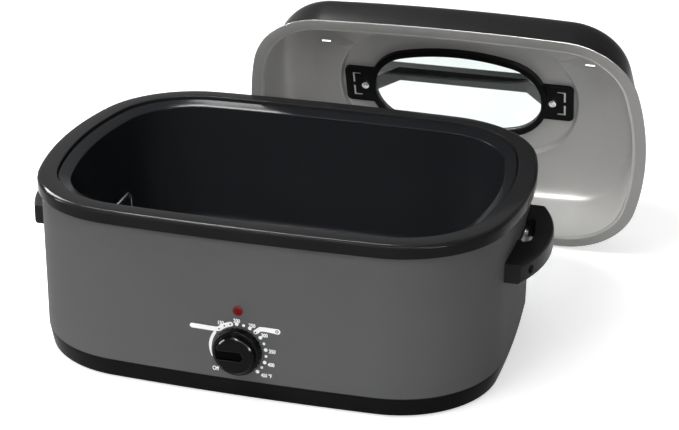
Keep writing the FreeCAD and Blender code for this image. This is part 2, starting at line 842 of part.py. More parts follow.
def make_cord_gland():
    """The bushing that guides the mains cord through the rear wall."""
    body = new_body("cord_gland")
    profile = polygon(body, "gland_profile", [
        ("gland_bore", "-gland_inner_depth"),
        ("gland_radius", "-gland_inner_depth"),
        ("gland_radius", "0"),
        ("gland_collar", "0"),
        ("gland_collar - 1.5", "gland_collar_depth"),
        ("gland_bore", "gland_collar_depth"),
    ], "XZ_Plane")
    revolve(body, profile)
    body.Placement = FreeCAD.Placement(FreeCAD.Vector(), FreeCAD.Rotation(0, 0, -90))
    place(body, "0", PANEL, "gland_height")


# ---- side handles ---------------------------------------------------------------------------

BOW_CENTRE = "rim_half_length + handle_stand_off - handle_bow_radius"


def bow(body, name, radius, low, high, inner_reach, offset):
    """A block outline from low to high in Y whose outer side is an arc bowed towards +X."""
    sketch = new_sketch(body, name, "XY_Plane", offset)
    centre_x = size(BOW_CENTRE)
    bow_radius = size(radius)
    inner = size(inner_reach)
    corners = []
    for across in (high, low):
        corners.append(FreeCAD.Vector(inner, size(across), 0))
    for across in (low, high):
        outer = centre_x + math.sqrt(bow_radius ** 2 - size(across) ** 2)
        corners.append(FreeCAD.Vector(outer, size(across), 0))
    for index in range(2):
        sketch.addGeometry(Part.LineSegment(corners[index], corners[index + 1]))
    middle = FreeCAD.Vector(centre_x, 0, 0)
    sketch.addGeometry(arc(middle, bow_radius, corners[2], corners[3]))
    sketch.addGeometry(Part.LineSegment(corners[3], corners[0]))
    for index in range(4):
        follower = (index + 1) % 4
        sketch.addConstraint(Sketcher.Constraint("Coincident", index, END, follower, START))
    pin(sketch, 0, START, inner_reach, high)
    pin(sketch, 1, START, inner_reach, low)
    sketch.addConstraint(Sketcher.Constraint("Horizontal", 1))
    sketch.addConstraint(Sketcher.Constraint("Horizontal", 3))
    pin(sketch, 2, CENTRE, BOW_CENTRE, "0")
    hold(sketch, "Radius", (2,), radius)
    return sketch


def make_handle(label, half_turn):
    """A bowed grip on two feet that sit against the housing's end wall, over a steel strap."""
    body = new_body(label)
    blank = bow(body, label + "_blank", "handle_bow_radius", "-handle_half_span",
                "handle_half_span", "rim_half_length - handle_cut_reach", "handle_bottom")
    pad(body, blank, "handle_height")
    gap = bow(body, label + "_gap", "handle_bow_radius - handle_grip", "-handle_gap_near",
              "handle_gap_far", "rim_half_length - 2 * handle_cut_reach",
              "handle_bottom - seat_gap")
    pocket(body, gap, "handle_height + 2 * seat_gap")
    reach = size("rim_half_length + handle_stand_off")
    round_edges(body, "handle_edge_radius",
                lambda edge: abs(edge.BoundBox.XMax - reach) < 0.01 and edge.BoundBox.ZLength < 0.01)
    wall_x = size(WALL_END)
    gap_ends = (size("-handle_gap_near"), size("handle_gap_far"))
    round_edges(body, "handle_gap_round",
                lambda edge: edge.BoundBox.XLength < 0.01 and edge.BoundBox.XMax > wall_x and
                min(abs(edge.BoundBox.YMax - end) for end in gap_ends) < 0.01)
    posts = circles(body, label + "_posts", HANDLE_POSTS, "handle_post_radius",
                    offset="handle_bottom")
    pad(body, posts, "handle_height")
    wall = rim_oval(body, label + "_wall", "rim_overhang", "handle_bottom - seat_gap", WALL_PLAN)
    pocket(body, wall, "handle_height + 2 * seat_gap")
    strap_end = "(handle_half_span - strap_end_gap + seat_gap)"
    strap_face = WALL_END + " + strap_gauge + 2 * seat_gap"
    recess = polygon(body, label + "_recess", [
        ("rim_half_length - 2 * handle_cut_reach", "-" + strap_end),
        (strap_face, "-" + strap_end),
        (strap_face, strap_end),
        ("rim_half_length - 2 * handle_cut_reach", strap_end),
    ], offset=HANDLE_SCREW_HEIGHT + " - strap_half_height - seat_gap")
    pocket(body, recess, "2 * (strap_half_height + seat_gap)")
    holes = circles(body, label + "_holes", HANDLE_SCREWS, "handle_screw_shank + screw_hole_gap",
                    "YZ_Plane", "rim_half_length - handle_cut_reach")
    pocket(body, holes, "2 * handle_cut_reach")
    wells = circles(body, label + "_wells", HANDLE_SCREWS, "handle_screw_well", "YZ_Plane",
                    "rim_half_length")
    pocket(body, wells, "handle_cut_reach")
    body.Placement = FreeCAD.Placement(FreeCAD.Vector(), FreeCAD.Rotation(half_turn, 0, 0))


def make_strap(label, half_turn, outer, inner):
    """A steel strip that follows the end wall, behind a handle's feet or inside the wall."""
    body = oval_ring(label, outer, inner, "%s - strap_half_height" % HANDLE_SCREW_HEIGHT,
                     "2 * strap_half_height", WALL_PLAN)
    half = "handle_half_span - strap_end_gap"
    away = "2 * rim_half_length"
    cut = polygon(body, label + "_trim", [
        ("-(%s)" % away, "-(%s)" % away),
        (away, "-(%s)" % away),
        (away, "-(%s)" % half),
        ("0", "-(%s)" % half),
        ("0", half),
        (away, half),
        (away, away),
        ("-(%s)" % away, away),
    ], offset="%s - strap_half_height" % HANDLE_SCREW_HEIGHT)
    pocket(body, cut, "2 * strap_half_height")
    holes = circles(body, label + "_holes", HANDLE_SCREWS + STRAP_SCREWS,
                    "handle_screw_shank + screw_hole_gap", "YZ_Plane",
                    "rim_half_length - handle_cut_reach")
    pocket(body, holes, "2 * handle_cut_reach")
    body.Placement = FreeCAD.Placement(FreeCAD.Vector(), FreeCAD.Rotation(half_turn, 0, 0))


def level_cylinder(name, radius, length, x, y, z):
    """A cylinder whose axis runs along +X from the given point."""
    cylinder = document.addObject("Part::Cylinder", name)
    cylinder.Placement = FreeCAD.Placement(FreeCAD.Vector(), FreeCAD.Rotation(0, 90, 0))
    drive(cylinder, "Radius", radius)
    drive(cylinder, "Height", length)
    place(cylinder, x, y, z)
    return cylinder


def make_handle_screws():
    """Two long screws in each handle's wells and two short ones on each outer strap."""
    parts = []
    for side in (1, -1):
        for index, (across, height) in enumerate(HANDLE_SCREWS + STRAP_SCREWS):
            seat = "rim_half_length" if index < len(HANDLE_SCREWS) else STRAP_SCREW_SEAT
            end = "(%s)" % seat if side > 0 else "-(%s) - handle_screw_head_height" % seat
            tip = "(rim_half_length - handle_screw_reach)"
            shank_from = tip if side > 0 else "-(%s) - handle_screw_head_height" % seat
            name = "handle_screw_%d" % len(parts)
            across = across if side > 0 else "-(%s)" % across
            parts.append(level_cylinder(name + "_head", "handle_screw_head",
                                        "handle_screw_head_height", end, across, height))
            parts.append(level_cylinder(name + "_shank", "handle_screw_shank",
                                        "%s + handle_screw_head_height - %s" % (seat, tip),
                                        shank_from, across, height))
    fused("handle_screws", parts)


# ---- roasting pan and its rack ---------------------------------------------------------------

PAN_FLOOR = "liner_bottom + sheet_gauge + pan_floor_height"
PAN_LIP = "collar_flat + pan_lip_gap"
RACK_LEVEL = "%s + pan_gauge + seat_gap + rack_wire" % PAN_FLOOR
ROD_LEVEL = "%s + rack_wire + rack_rod - rack_weld" % RACK_LEVEL


def make_roasting_pan():
    """The lift-out pan: a lip that hooks over its seat, a sloping mouth and a deep tapered well."""
    lip_top = SEAT + " + pan_lip_height"
    mouth = "%s - pan_lip_drop" % lip_top
    wall_foot = "pan_floor_inset - pan_floor_chamfer"
    body = swept("roasting_pan", [
        (PAN_LIP, SEAT),
        (PAN_LIP, lip_top),
        ("pan_mouth_inset", mouth),
        (wall_foot, PAN_FLOOR + " + pan_floor_chamfer + pan_gauge"),
        ("pan_floor_inset", PAN_FLOOR + " + pan_gauge"),
        ("pan_floor_inset", PAN_FLOOR),
        (wall_foot + " - pan_gauge", PAN_FLOOR + " + pan_floor_chamfer"),
        ("pan_mouth_inset - pan_gauge", mouth + " - pan_gauge"),
        (PAN_LIP + " + pan_gauge", lip_top + " - pan_gauge * 1.3"),
        (PAN_LIP + " + pan_gauge", SEAT),
    ])
    pad(body, rim_oval(body, "pan_floor", "pan_floor_inset", PAN_FLOOR), "pan_gauge")
    round_edges(body, "pan_lip_radius", at_end(PAN_LIP, lip_top))
    round_edges(body, "pan_lip_radius", at_end("pan_mouth_inset", mouth))


def make_rack_frame():
    body = new_body("rack_frame")
    path = rim_oval(body, "rack_path", "rack_inset", RACK_LEVEL)
    wire = circles(body, "rack_wire_section", [("rim_half_length - rack_inset", RACK_LEVEL)],
                   "rack_wire", "XZ_Plane")
    pipe(body, wire, path)


def make_rack_rods():
    """Cross rods welded on top of the rack's frame."""
    rods = []
    flat_radius = "(side_arc_radius - rack_inset)"
    for index in range(-6, 7):
        along = "%d * rack_rod_pitch" % index
        half = "(sqrt(%s * %s - (%s) * (%s)) - (side_arc_radius - rim_half_width))" % (
            flat_radius, flat_radius, along, along)
        rod = document.addObject("Part::Cylinder", "rack_rod_%d" % (index + 7))
        rod.Placement = FreeCAD.Placement(FreeCAD.Vector(), FreeCAD.Rotation(0, 0, -90))
        drive(rod, "Radius", "rack_rod")
        drive(rod, "Height", "2 * " + half)
        place(rod, along, "-" + half, ROD_LEVEL)
        rods.append(rod)
    fused("rack_rods", rods)


def make_rack_bail(label, side):
    """A lifting loop of wire that stands on one end of the rack's frame."""
    body = new_body(label)
    sketch = new_sketch(body, label + "_path", "YZ_Plane", "%d * (rim_half_length - rack_inset)" % side)
    half = size("rack_bail_half_width")
    foot = size(RACK_LEVEL)
    top = foot + size("rack_bail_height")
    bend = size("rack_wire * 4")
    left = FreeCAD.Vector(-half + bend, top - bend, 0)
    right = FreeCAD.Vector(half - bend, top - bend, 0)
    rise = FreeCAD.Vector(0, bend, 0)
    out = FreeCAD.Vector(bend, 0, 0)
    sketch.addGeometry(Part.LineSegment(FreeCAD.Vector(-half, foot, 0), left - out))
    sketch.addGeometry(arc(left, bend, left + rise, left - out))
    sketch.addGeometry(Part.LineSegment(left + rise, right + rise))
    sketch.addGeometry(arc(right, bend, right + out, right + rise))
    sketch.addGeometry(Part.LineSegment(right + out, FreeCAD.Vector(half, foot, 0)))
    sketch.addConstraint(Sketcher.Constraint("Tangent", 0, END, 1, END))
    sketch.addConstraint(Sketcher.Constraint("Tangent", 1, START, 2, START))
    sketch.addConstraint(Sketcher.Constraint("Tangent", 2, END, 3, END))
    sketch.addConstraint(Sketcher.Constraint("Tangent", 3, START, 4, START))
    pin(sketch, 0, START, "-rack_bail_half_width", RACK_LEVEL)
    pin(sketch, 4, END, "rack_bail_half_width", RACK_LEVEL)
    sketch.addConstraint(Sketcher.Constraint("Vertical", 0))
    sketch.addConstraint(Sketcher.Constraint("Vertical", 4))
    hold(sketch, "Radius", (1,), "rack_wire * 4")
    hold(sketch, "Radius", (3,), "rack_wire * 4")
    hold(sketch, "DistanceY", (ORIGIN, START, 2, START), "%s + rack_bail_height" % RACK_LEVEL)
    wire = circles(body, label + "_wire",
                   [("%d * (rim_half_length - rack_inset)" % side, "-rack_bail_half_width")],
                   "rack_bail_wire", "XY_Plane", RACK_LEVEL)
    pipe(body, wire, sketch)


# ---- lid, in its own frame: x along, y towards the edge it stands on, z out through the dome --

PLATEAU_INSIDE = "lid_crown - lid_gauge"
GLASS_TOP = "lid_crown - lid_gauge - gasket_thickness"
GLASS_BOTTOM = "lid_crown - lid_gauge - gasket_thickness - glass_thickness"
PLATE_FACE = "lid_crown - lid_gauge - plate_thickness"
LID_CUT_FROM = "lid_crown - lid_cut_reach"
LID_CUT = "2 * lid_cut_reach"
LID_SCREWS = [("lid_screw_along", "0"), ("-lid_screw_along", "0")]
HANDLE_SEAT = "lid_crown + outer_frame_height"


def stand_lid(body):
    """Stand a piece of the lid behind the oven, resting on the lid's long edge."""
    body.Placement = FreeCAD.Placement(FreeCAD.Vector(), FreeCAD.Rotation(0, 0, -90))
    drive(body, "Placement.Rotation.Angle", "(90 - lid_lean) * 1 deg")
    lid_half_width = "(rim_half_width - lid_inset)"
    place(body, "lid_offset", "lid_stand_back - %s * sin(lid_lean * 1 deg)" % lid_half_width,
          "%s * cos(lid_lean * 1 deg)" % lid_half_width)


def lid_outline(body, name, inset, height):
    return rim_oval(body, name, "lid_inset + (%s)" % inset, height)


def plateau(body, name, inset, height):
    return oval(body, name, "oval_half_length - (%s)" % inset, "oval_half_width - (%s)" % inset,
                "oval_side_radius - (%s)" % inset, "oval_end_radius - (%s)" % inset,
                "oval_corner_radius - (%s)" % inset, height)


def window(body, name, grow, height):
    return oval(body, name, "window_half_length + (%s)" % grow,
                "window_half_width + (%s)" % grow, "window_side_radius + (%s)" % grow,
                "window_end_radius + (%s)" % grow, "window_corner_radius + (%s)" % grow, height)


DOME = [("0", "0"), ("1", "0.6"), ("3.2", "0.93"), ("9", "1.1"), ("22", "1.22"), ("44", "1.3")]


def dome_sections(body, name, shrink, drop):
    """Outlines of the lid's wall and shoulder, from the flange up towards the crown."""
    sections = []
    for index, (inset, share) in enumerate(DOME):
        sections.append(lid_outline(body, "%s_%d" % (name, index),
                                    "lid_flange + %s + %s" % (inset, shrink),
                                    "lid_shoulder * %s - (%s) * %d" % (share, drop, index > 1)))
    return sections


def make_lid_shell():
    """The domed lid: flange, drawn wall, rounded shoulder and a raised oval for the window."""
    body = new_body("lid_shell")
    pad(body, lid_outline(body, "lid_flange_outline", "0", "0"), "lid_gauge")
    loft(body, dome_sections(body, "dome", "0", "0"), ruled=False)
    pad(body, plateau(body, "lid_oval", "0", "lid_crown - 3 * oval_step"), "3 * oval_step")
    loft(body, dome_sections(body, "hollow", "lid_gauge", "lid_gauge"), ruled=False, cut=True)
    pocket(body, plateau(body, "lid_oval_hollow", "lid_gauge", "0"), PLATEAU_INSIDE)
    pocket(body, window(body, "lid_window", "window_hole_gap", LID_CUT_FROM), LID_CUT)
    holes = circles(body, "lid_screw_holes", LID_SCREWS, "lid_screw_shank + screw_hole_gap",
                    offset=LID_CUT_FROM)
    pocket(body, holes, LID_CUT)
    for side in (1, -1):
        near = "%d * (vent_along - vent_length / 2)" % side
        far = "%d * (vent_along + vent_length / 2)" % side
        vent = polygon(body, "lid_vent_%d" % (side + 2), [
            (near, "-vent_across - vent_width / 2"),
            (far, "-vent_across - vent_width / 2"),
            (far, "-vent_across + vent_width / 2"),
            (near, "-vent_across + vent_width / 2"),
        ], offset="lid_shoulder / 2")
        pocket(body, vent, "lid_crown")
    stand_lid(body)


def make_window_gasket():
    body = new_body("window_gasket")
    pad(body, window(body, "gasket_outside", "glass_lap", GLASS_TOP), "gasket_thickness")
    pocket(body, window(body, "gasket_inside", "gasket_gap", GLASS_TOP), "gasket_thickness")
    stand_lid(body)


def make_window_glass():
    body = new_body("window_glass")
    pad(body, window(body, "glass_outline", "glass_lap", GLASS_BOTTOM), "glass_thickness")
    stand_lid(body)


def end_plate(body, name, side, half_width, height, rise):
    """A flat pad beyond one end of the window."""
    inner = "%d * plate_from" % side
    outer = "%d * plate_to" % side
    outline = polygon(body, name, [
        (inner, "-(%s)" % half_width),
        (outer, "-(%s)" % half_width),
        (outer, half_width),
        (inner, half_width),
    ], offset=height)
    pad(body, outline, rise)
    reach = size(outer)
    round_edges(body, "plate_corner_radius", lambda edge: edge.BoundBox.XLength < 0.01 and
                edge.BoundBox.YLength < 0.01 and abs(edge.BoundBox.XMax - reach) < 0.01)


def cut_plate_slot(body, side):
    """The bracket-shaped slot near the outer end of a plate."""
    far = "%d * (slot_along + slot_width / 2)" % side
    near = "%d * (slot_along - slot_width / 2)" % side
    tip = "%d * (slot_along - slot_arm)" % side
    for half in (1, -1):
        outer = "%d * slot_half_span" % half
        inner = "%d * (slot_half_span - slot_width)" % half
        middle = "%d * slot_bridge_half" % half
        outline = polygon(body, "plate_slot_%d_%d" % (side + 2, half + 2), [
            (tip, outer),
            (far, outer),
            (far, middle),
            (near, middle),
            (near, inner),
            (tip, inner),
        ], offset=PLATE_FACE)
        pocket(body, outline, "plate_thickness")


def make_window_frame_inner():
    """The frame that clamps the glass from inside, with a plate at each end."""
    body = new_body("window_frame_inner")
    bottom = GLASS_BOTTOM + " - frame_lip"
    pad(body, window(body, "inner_frame_outline", "glass_lap + seat_gap + frame_rim", bottom),
        "%s - (%s)" % (PLATEAU_INSIDE, bottom))
    for side in (1, -1):
        end_plate(body, "inner_plate_%d" % (side + 2), side, "plate_half_width", PLATE_FACE,
                  "plate_thickness")
    pocket(body, window(body, "glass_seat", "glass_lap + seat_gap", GLASS_BOTTOM),
           "glass_thickness + gasket_thickness")
    pocket(body, window(body, "inner_frame_opening", "0", bottom), "frame_lip")
    holes = circles(body, "inner_plate_holes", LID_SCREWS, "lid_screw_shank + screw_hole_gap",
                    offset=bottom)
    pocket(body, holes, "lid_cut_reach")
    for side in (1, -1):
        cut_plate_slot(body, side)
    stand_lid(body)


def make_window_frame_outer():
    body = new_body("window_frame_outer")
    pad(body, window(body, "outer_frame_outline", "glass_lap + frame_rim", "lid_crown"),
        "outer_frame_height")
    for side in (1, -1):
        end_plate(body, "outer_plate_%d" % (side + 2), side,
                  "bail_half_width + outer_plate_margin", "lid_crown", "outer_frame_height")
    pocket(body, window(body, "outer_frame_opening", "gasket_gap", "lid_crown"), "outer_frame_height")
    holes = circles(body, "outer_plate_holes", LID_SCREWS, "lid_screw_shank + screw_hole_gap",
                    offset="lid_crown")
    pocket(body, holes, "outer_frame_height")
    stand_lid(body)


def make_lid_handle():
    """A bail along the lid over the window, on a foot at each end."""
    body = new_body("lid_handle")
    toe = "(lid_screw_along + bail_foot / 2)"
    heel = "(lid_screw_along - bail_foot / 2)"
    top = HANDLE_SEAT + " + bail_height"
    under = top + " - bail_bar"
    arch = polygon(body, "bail_arch", [
        ("-%s" % toe, HANDLE_SEAT),
        ("-%s" % heel, HANDLE_SEAT),
        ("bail_slope - %s" % heel, under),
        ("%s - bail_slope" % heel, under),
        (heel, HANDLE_SEAT),
        (toe, HANDLE_SEAT),
        (toe + " - bail_slope", top),
        ("bail_slope - %s" % toe, top),
    ], "XZ_Plane", "-bail_half_width")
    pad(body, arch, "2 * bail_half_width")
    ceiling = size(top)
    round_edges(body, "handle_edge_radius", lambda edge: level(edge, ceiling) and
                edge.BoundBox.XLength > 1)
    holes = circles(body, "bail_screw_holes", LID_SCREWS, "lid_screw_shank", offset=HANDLE_SEAT)
    pocket(body, holes, "lid_screw_bite + seat_gap")
    stand_lid(body)


def make_lid_screws():
    """Two screws from inside the lid up into the handle's feet."""
    parts = []
    for index, (along, across) in enumerate(LID_SCREWS, start=1):
        head_bottom = PLATE_FACE + " - lid_screw_head_height"
        parts.append(upright_cylinder("lid_screw_head_%d" % index, "lid_screw_head", head_bottom,
                                      "lid_screw_head_height", along, across))
        parts.append(upright_cylinder("lid_screw_shank_%d" % index, "lid_screw_shank", head_bottom,
                                      "%s + lid_screw_bite - (%s)" % (HANDLE_SEAT, head_bottom),
                                      along, across))
    stand_lid(fused("lid_screws", parts))


# ---- the whole oven --------------------------------------------------------------------------

make_base_ring()
make_bottom_plate()
make_base_screws()
for foot_label, foot_side, foot_end in (("foot_front_left", -1, -1), ("foot_front_right", 1, -1),
                                        ("foot_rear_left", -1, 1), ("foot_rear_right", 1, 1)):
    make_foot(foot_label, foot_side, foot_end)
make_heat_shield()
make_terminal_block()
make_outer_housing()
make_top_collar()
make_inner_liner()
make_heating_band()
make_insulation_wrap()
make_thermostat_bracket()
make_thermostat()
make_knob_shaft()
make_knob()
make_knob_clip()
make_indicator_lens()
make_indicator_lamp()
make_cord_gland()
make_handle("handle_right", 0)
make_handle("handle_left", HALF_TURN)
make_strap("handle_bracket_right", 0, BRACKET_OUTSIDE, BRACKET_INSIDE)
make_strap("handle_bracket_left", HALF_TURN, BRACKET_OUTSIDE, BRACKET_INSIDE)
make_strap("handle_strap_right", 0, STRAP_OUTSIDE, STRAP_INSIDE)
make_strap("handle_strap_left", HALF_TURN, STRAP_OUTSIDE, STRAP_INSIDE)
make_handle_screws()
make_roasting_pan()
make_rack_frame()
make_rack_rods()
make_rack_bail("rack_bail_right", 1)
make_rack_bail("rack_bail_left", -1)
make_lid_shell()
make_window_gasket()
make_window_glass()
make_window_frame_inner()
make_window_frame_outer()
make_lid_handle()
make_lid_screws()

document.recompute()
for item in document.Objects:
    if "Invalid" in item.State or "Error" in item.State:
        raise ValueError("%s failed: %s" % (item.Label, item.State))
for piece in pieces:
    if piece.Shape.isNull() or not piece.Shape.isValid() or not piece.Shape.Solids:
        raise ValueError("%s has no sound shape" % piece.Label)

os.makedirs("parts", exist_ok=True)
for piece in pieces:
    piece.Shape.exportStep("parts/%s.step" % piece.Label)
    print(piece.Label, len(piece.Shape.Solids), round(piece.Shape.Volume))
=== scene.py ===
import math

import bmesh
import bpy
from mathutils import Matrix, Vector


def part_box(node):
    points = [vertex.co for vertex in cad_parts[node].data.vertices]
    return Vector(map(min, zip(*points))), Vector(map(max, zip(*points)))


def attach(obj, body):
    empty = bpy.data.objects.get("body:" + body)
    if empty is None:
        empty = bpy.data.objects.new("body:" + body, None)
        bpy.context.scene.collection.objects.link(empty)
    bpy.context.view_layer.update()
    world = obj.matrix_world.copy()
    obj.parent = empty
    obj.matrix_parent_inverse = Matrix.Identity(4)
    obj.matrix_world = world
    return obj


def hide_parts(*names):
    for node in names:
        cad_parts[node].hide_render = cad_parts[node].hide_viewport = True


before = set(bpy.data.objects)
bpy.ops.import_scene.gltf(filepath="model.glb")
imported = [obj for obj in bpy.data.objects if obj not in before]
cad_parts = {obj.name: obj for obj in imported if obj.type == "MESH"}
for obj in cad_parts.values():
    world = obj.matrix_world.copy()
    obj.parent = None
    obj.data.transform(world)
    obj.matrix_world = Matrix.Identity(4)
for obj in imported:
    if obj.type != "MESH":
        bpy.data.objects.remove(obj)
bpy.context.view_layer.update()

# Sizes in metres, in the frame's own axes: +X right, -Y towards the knob, +Z up.
COLLAR_LOW, COLLAR_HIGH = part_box("top_collar")
HALF_LENGTH = COLLAR_HIGH.x
HALF_WIDTH = COLLAR_HIGH.y
RIM_TOP = COLLAR_HIGH.z
COLLAR_FOOT = COLLAR_LOW.z
PAN_SEAT = RIM_TOP - 0.0115
WALL_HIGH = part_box("outer_housing")[1]
OVERHANG = HALF_WIDTH - WALL_HIGH.y
SET_BACK = HALF_LENGTH - OVERHANG - WALL_HIGH.x
RING_LOW, RING_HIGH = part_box("base_ring")
PANEL_Y = -(HALF_WIDTH - OVERHANG)
SIDE_ARC = 3.107
END_ARC = 0.414
WALL_END_ARC = 1.5
CORNER_ARC = 0.1235

# Half length, half width, and the radii of the side, end and corner arcs of each oval. The
# walls and the base follow the rim's oval, with flatter ends that are set back.
RIM_OVAL = (HALF_LENGTH, HALF_WIDTH, SIDE_ARC, END_ARC, CORNER_ARC)
WALL_OVAL = (HALF_LENGTH - SET_BACK, HALF_WIDTH, SIDE_ARC, WALL_END_ARC, CORNER_ARC)
PLATEAU_OVAL = (0.154, 0.103, 0.3, 0.1, 0.08)
WINDOW_OVAL = (0.106, 0.060, 0.26, 0.07, 0.05)


# ---- camera ---------------------------------------------------------------------------------

# Fitted to the photograph's outline, then drawn back so that the whole lid is in view.
VIEW_AZIMUTH = math.radians(16.71)
VIEW_ELEVATION = math.radians(23.41)
FITTED_DISTANCE = 1.808
PULL_BACK = 1.13
VIEW_DISTANCE = FITTED_DISTANCE * PULL_BACK
VIEW_TARGET = Vector((0.0, 0.0, 0.154))
PHOTO_WIDTH = 679
PHOTO_HEIGHT = 430
SENSOR_WIDTH = 36.0
NEAREST = 0.05
FARTHEST = 50.0
FOCAL_PIXELS = 1800.5
AXIS_PIXEL_X = 290.1
AXIS_PIXEL_Y = 180.97
FRAME_DROP = 19.0


def make_camera():
    data = bpy.data.cameras.new("camera")
    data.sensor_width = SENSOR_WIDTH
    data.lens = FOCAL_PIXELS / PHOTO_WIDTH * data.sensor_width
    data.shift_x = (PHOTO_WIDTH / 2 - AXIS_PIXEL_X) / PHOTO_WIDTH
    data.shift_y = (AXIS_PIXEL_Y - PHOTO_HEIGHT / 2 + FRAME_DROP) / PHOTO_WIDTH
    data.clip_start = NEAREST
    data.clip_end = FARTHEST
    camera = bpy.data.objects.new("camera", data)
    bpy.context.scene.collection.objects.link(camera)
    level = math.cos(VIEW_ELEVATION)
    back = Vector((math.sin(VIEW_AZIMUTH) * level, -math.cos(VIEW_AZIMUTH) * level,
                   math.sin(VIEW_ELEVATION)))
    camera.location = VIEW_TARGET + back * VIEW_DISTANCE
    camera.rotation_euler = (-back).to_track_quat("-Z", "Y").to_euler()
    bpy.context.scene.camera = camera


make_camera()


# ---- materials ------------------------------------------------------------------------------

MOTTLE_RANGE = (0.3, 0.7)
MOTTLE_DETAIL = 5.0
GLOSS_RANGE = (0.88, 1.12)
GRAIN_DETAIL = 2.0
GRAIN_DEPTH = 0.0004
ROUNDING_SAMPLES = 6


def linear(value):
    """One sRGB channel, 0 to 255, as a linear value."""
    share = value / 255
    if share <= 0.04045:
        return share / 12.92
    return ((share + 0.055) / 1.055) ** 2.4


def colour(red, green, blue):
    """An opaque linear colour from sRGB channels."""
    return (linear(red), linear(green), linear(blue), 1.0)


def material(name, base, dark, roughness, metallic=0.0, grain=900.0, mottle=14.0, bump=0.02,
             specular=0.5, transmission=0.0, rounding=0.0):
    """A procedural finish: mottled colour, uneven gloss, fine grain, and softened edges."""
    made = bpy.data.materials.new(name)
    made.use_nodes = True
    nodes = made.node_tree.nodes
    links = made.node_tree.links
    shader = nodes["Principled BSDF"]
    shader.inputs["Metallic"].default_value = metallic
    shader.inputs["Specular IOR Level"].default_value = specular
    shader.inputs["Transmission Weight"].default_value = transmission
    place = nodes.new("ShaderNodeTexCoord")

    def noise(scale, detail):
        texture = nodes.new("ShaderNodeTexNoise")
        texture.inputs["Scale"].default_value = scale
        texture.inputs["Detail"].default_value = detail
        links.new(place.outputs["Object"], texture.inputs["Vector"])
        return texture.outputs["Fac"]

    mottling = noise(mottle, MOTTLE_DETAIL)
    ramp = nodes.new("ShaderNodeValToRGB")
    for element, position, shade in zip(ramp.color_ramp.elements, MOTTLE_RANGE, (dark, base)):
        element.position = position
        element.color = shade
    links.new(mottling, ramp.inputs["Fac"])
    links.new(ramp.outputs["Color"], shader.inputs["Base Color"])
    gloss = nodes.new("ShaderNodeMapRange")
    gloss.inputs["To Min"].default_value = roughness * GLOSS_RANGE[0]
    gloss.inputs["To Max"].default_value = roughness * GLOSS_RANGE[1]
    links.new(mottling, gloss.inputs["Value"])
    links.new(gloss.outputs["Result"], shader.inputs["Roughness"])
    relief = nodes.new("ShaderNodeBump")
    relief.inputs["Strength"].default_value = bump
    relief.inputs["Distance"].default_value = GRAIN_DEPTH
    links.new(noise(grain, GRAIN_DETAIL), relief.inputs["Height"])
    links.new(relief.outputs["Normal"], shader.inputs["Normal"])
    if rounding > 0:
        soft = nodes.new("ShaderNodeBevel")
        soft.samples = ROUNDING_SAMPLES
        soft.inputs["Radius"].default_value = rounding
        links.new(soft.outputs["Normal"], relief.inputs["Normal"])
    return made


HOUSING = material("housing_paint", colour(90, 90, 91), colour(86, 86, 87), 0.5, bump=0.05,
                   grain=2600.0, mottle=5.0, specular=0.01)
ENAMEL = material("rim_enamel", colour(30, 30, 31), colour(27, 27, 28), 0.11, bump=0.008,
                  grain=260.0, specular=0.018)
PAN = material("pan_enamel", colour(25, 26, 28), colour(22, 23, 25), 0.15, bump=0.012, grain=420.0,
               mottle=5.0, specular=0.018)
LID_OUTSIDE = material("lid_outside", colour(27, 27, 28), colour(24, 24, 25), 0.22, bump=0.012,
                       grain=260.0, specular=0.02)
LID_INSIDE = material("lid_inside", colour(181, 180, 178), colour(175, 174, 172), 0.4,
                      metallic=0.25, bump=0.03, grain=1800.0, mottle=5.0, specular=0.25)
# Painted shade: a darker copy of the lid's inside, for the flat band of its flange.
LID_RIM_PAINTED_SHADE = material("lid_rim_painted_shade", colour(152, 151, 149), colour(147, 146, 144), 0.3,
                   metallic=0.25, bump=0.03, grain=1800.0, mottle=5.0, specular=0.25)
BASE = material("base_plastic", colour(20, 20, 20), colour(17, 17, 17), 0.4, bump=0.1,
                grain=2400.0, specular=0.015, rounding=0.0008)
GRIP = material("handle_plastic", colour(38, 38, 38), colour(34, 34, 34), 0.28, bump=0.08,
                grain=2200.0, specular=0.02, rounding=0.0009)
WINDOW_TRIM = material("window_trim", colour(15, 15, 15), colour(12, 12, 12), 0.28, bump=0.08,
                       grain=2200.0, specular=0.06, rounding=0.0009)
KNOB = material("knob_plastic", colour(8, 8, 8), colour(6, 6, 6), 0.08, bump=0.01,
                grain=1600.0, specular=0.05, rounding=0.0013)
STEEL = material("bare_steel", colour(176, 176, 178), colour(150, 150, 152), 0.32, metallic=1.0,
                 bump=0.06, grain=700.0)
# Painted shade: a darker copy of the bare steel, for the straps in the shade of the handles' gaps.
STRAP_PAINTED_SHADE = material("strap_steel_painted_shade", colour(66, 66, 68), colour(50, 50, 52), 0.36, metallic=1.0,
                 bump=0.06, grain=700.0)
BRASS = material("shaft_metal", colour(190, 165, 110), colour(170, 145, 95), 0.3, metallic=1.0)
CHROME = material("bright_screw", colour(225, 225, 228), colour(205, 205, 208), 0.14, metallic=1.0)
RACK = material("rack_chrome", colour(205, 205, 208), colour(180, 180, 184), 0.2, metallic=1.0)
FOIL = material("element_metal", colour(190, 190, 188), colour(165, 165, 163), 0.35, metallic=1.0)
WOOL = material("insulation_wool", colour(222, 216, 196), colour(198, 190, 166), 0.95, bump=0.6,
                grain=180.0)
CERAMIC = material("terminal_plastic", colour(222, 220, 212), colour(205, 203, 194), 0.5)
RUBBER = material("soft_rubber", colour(26, 26, 26), colour(18, 18, 18), 0.75, bump=0.2,
                  grain=1200.0, specular=0.2)
# Painted shade: a near-black matt finish for the sheet that darkens the knob's slot.
SLOT_SHADE = material("knob_slot_shade", colour(5, 5, 5), colour(3, 3, 3), 0.7, bump=0.05,
                      grain=900.0, specular=0.02)
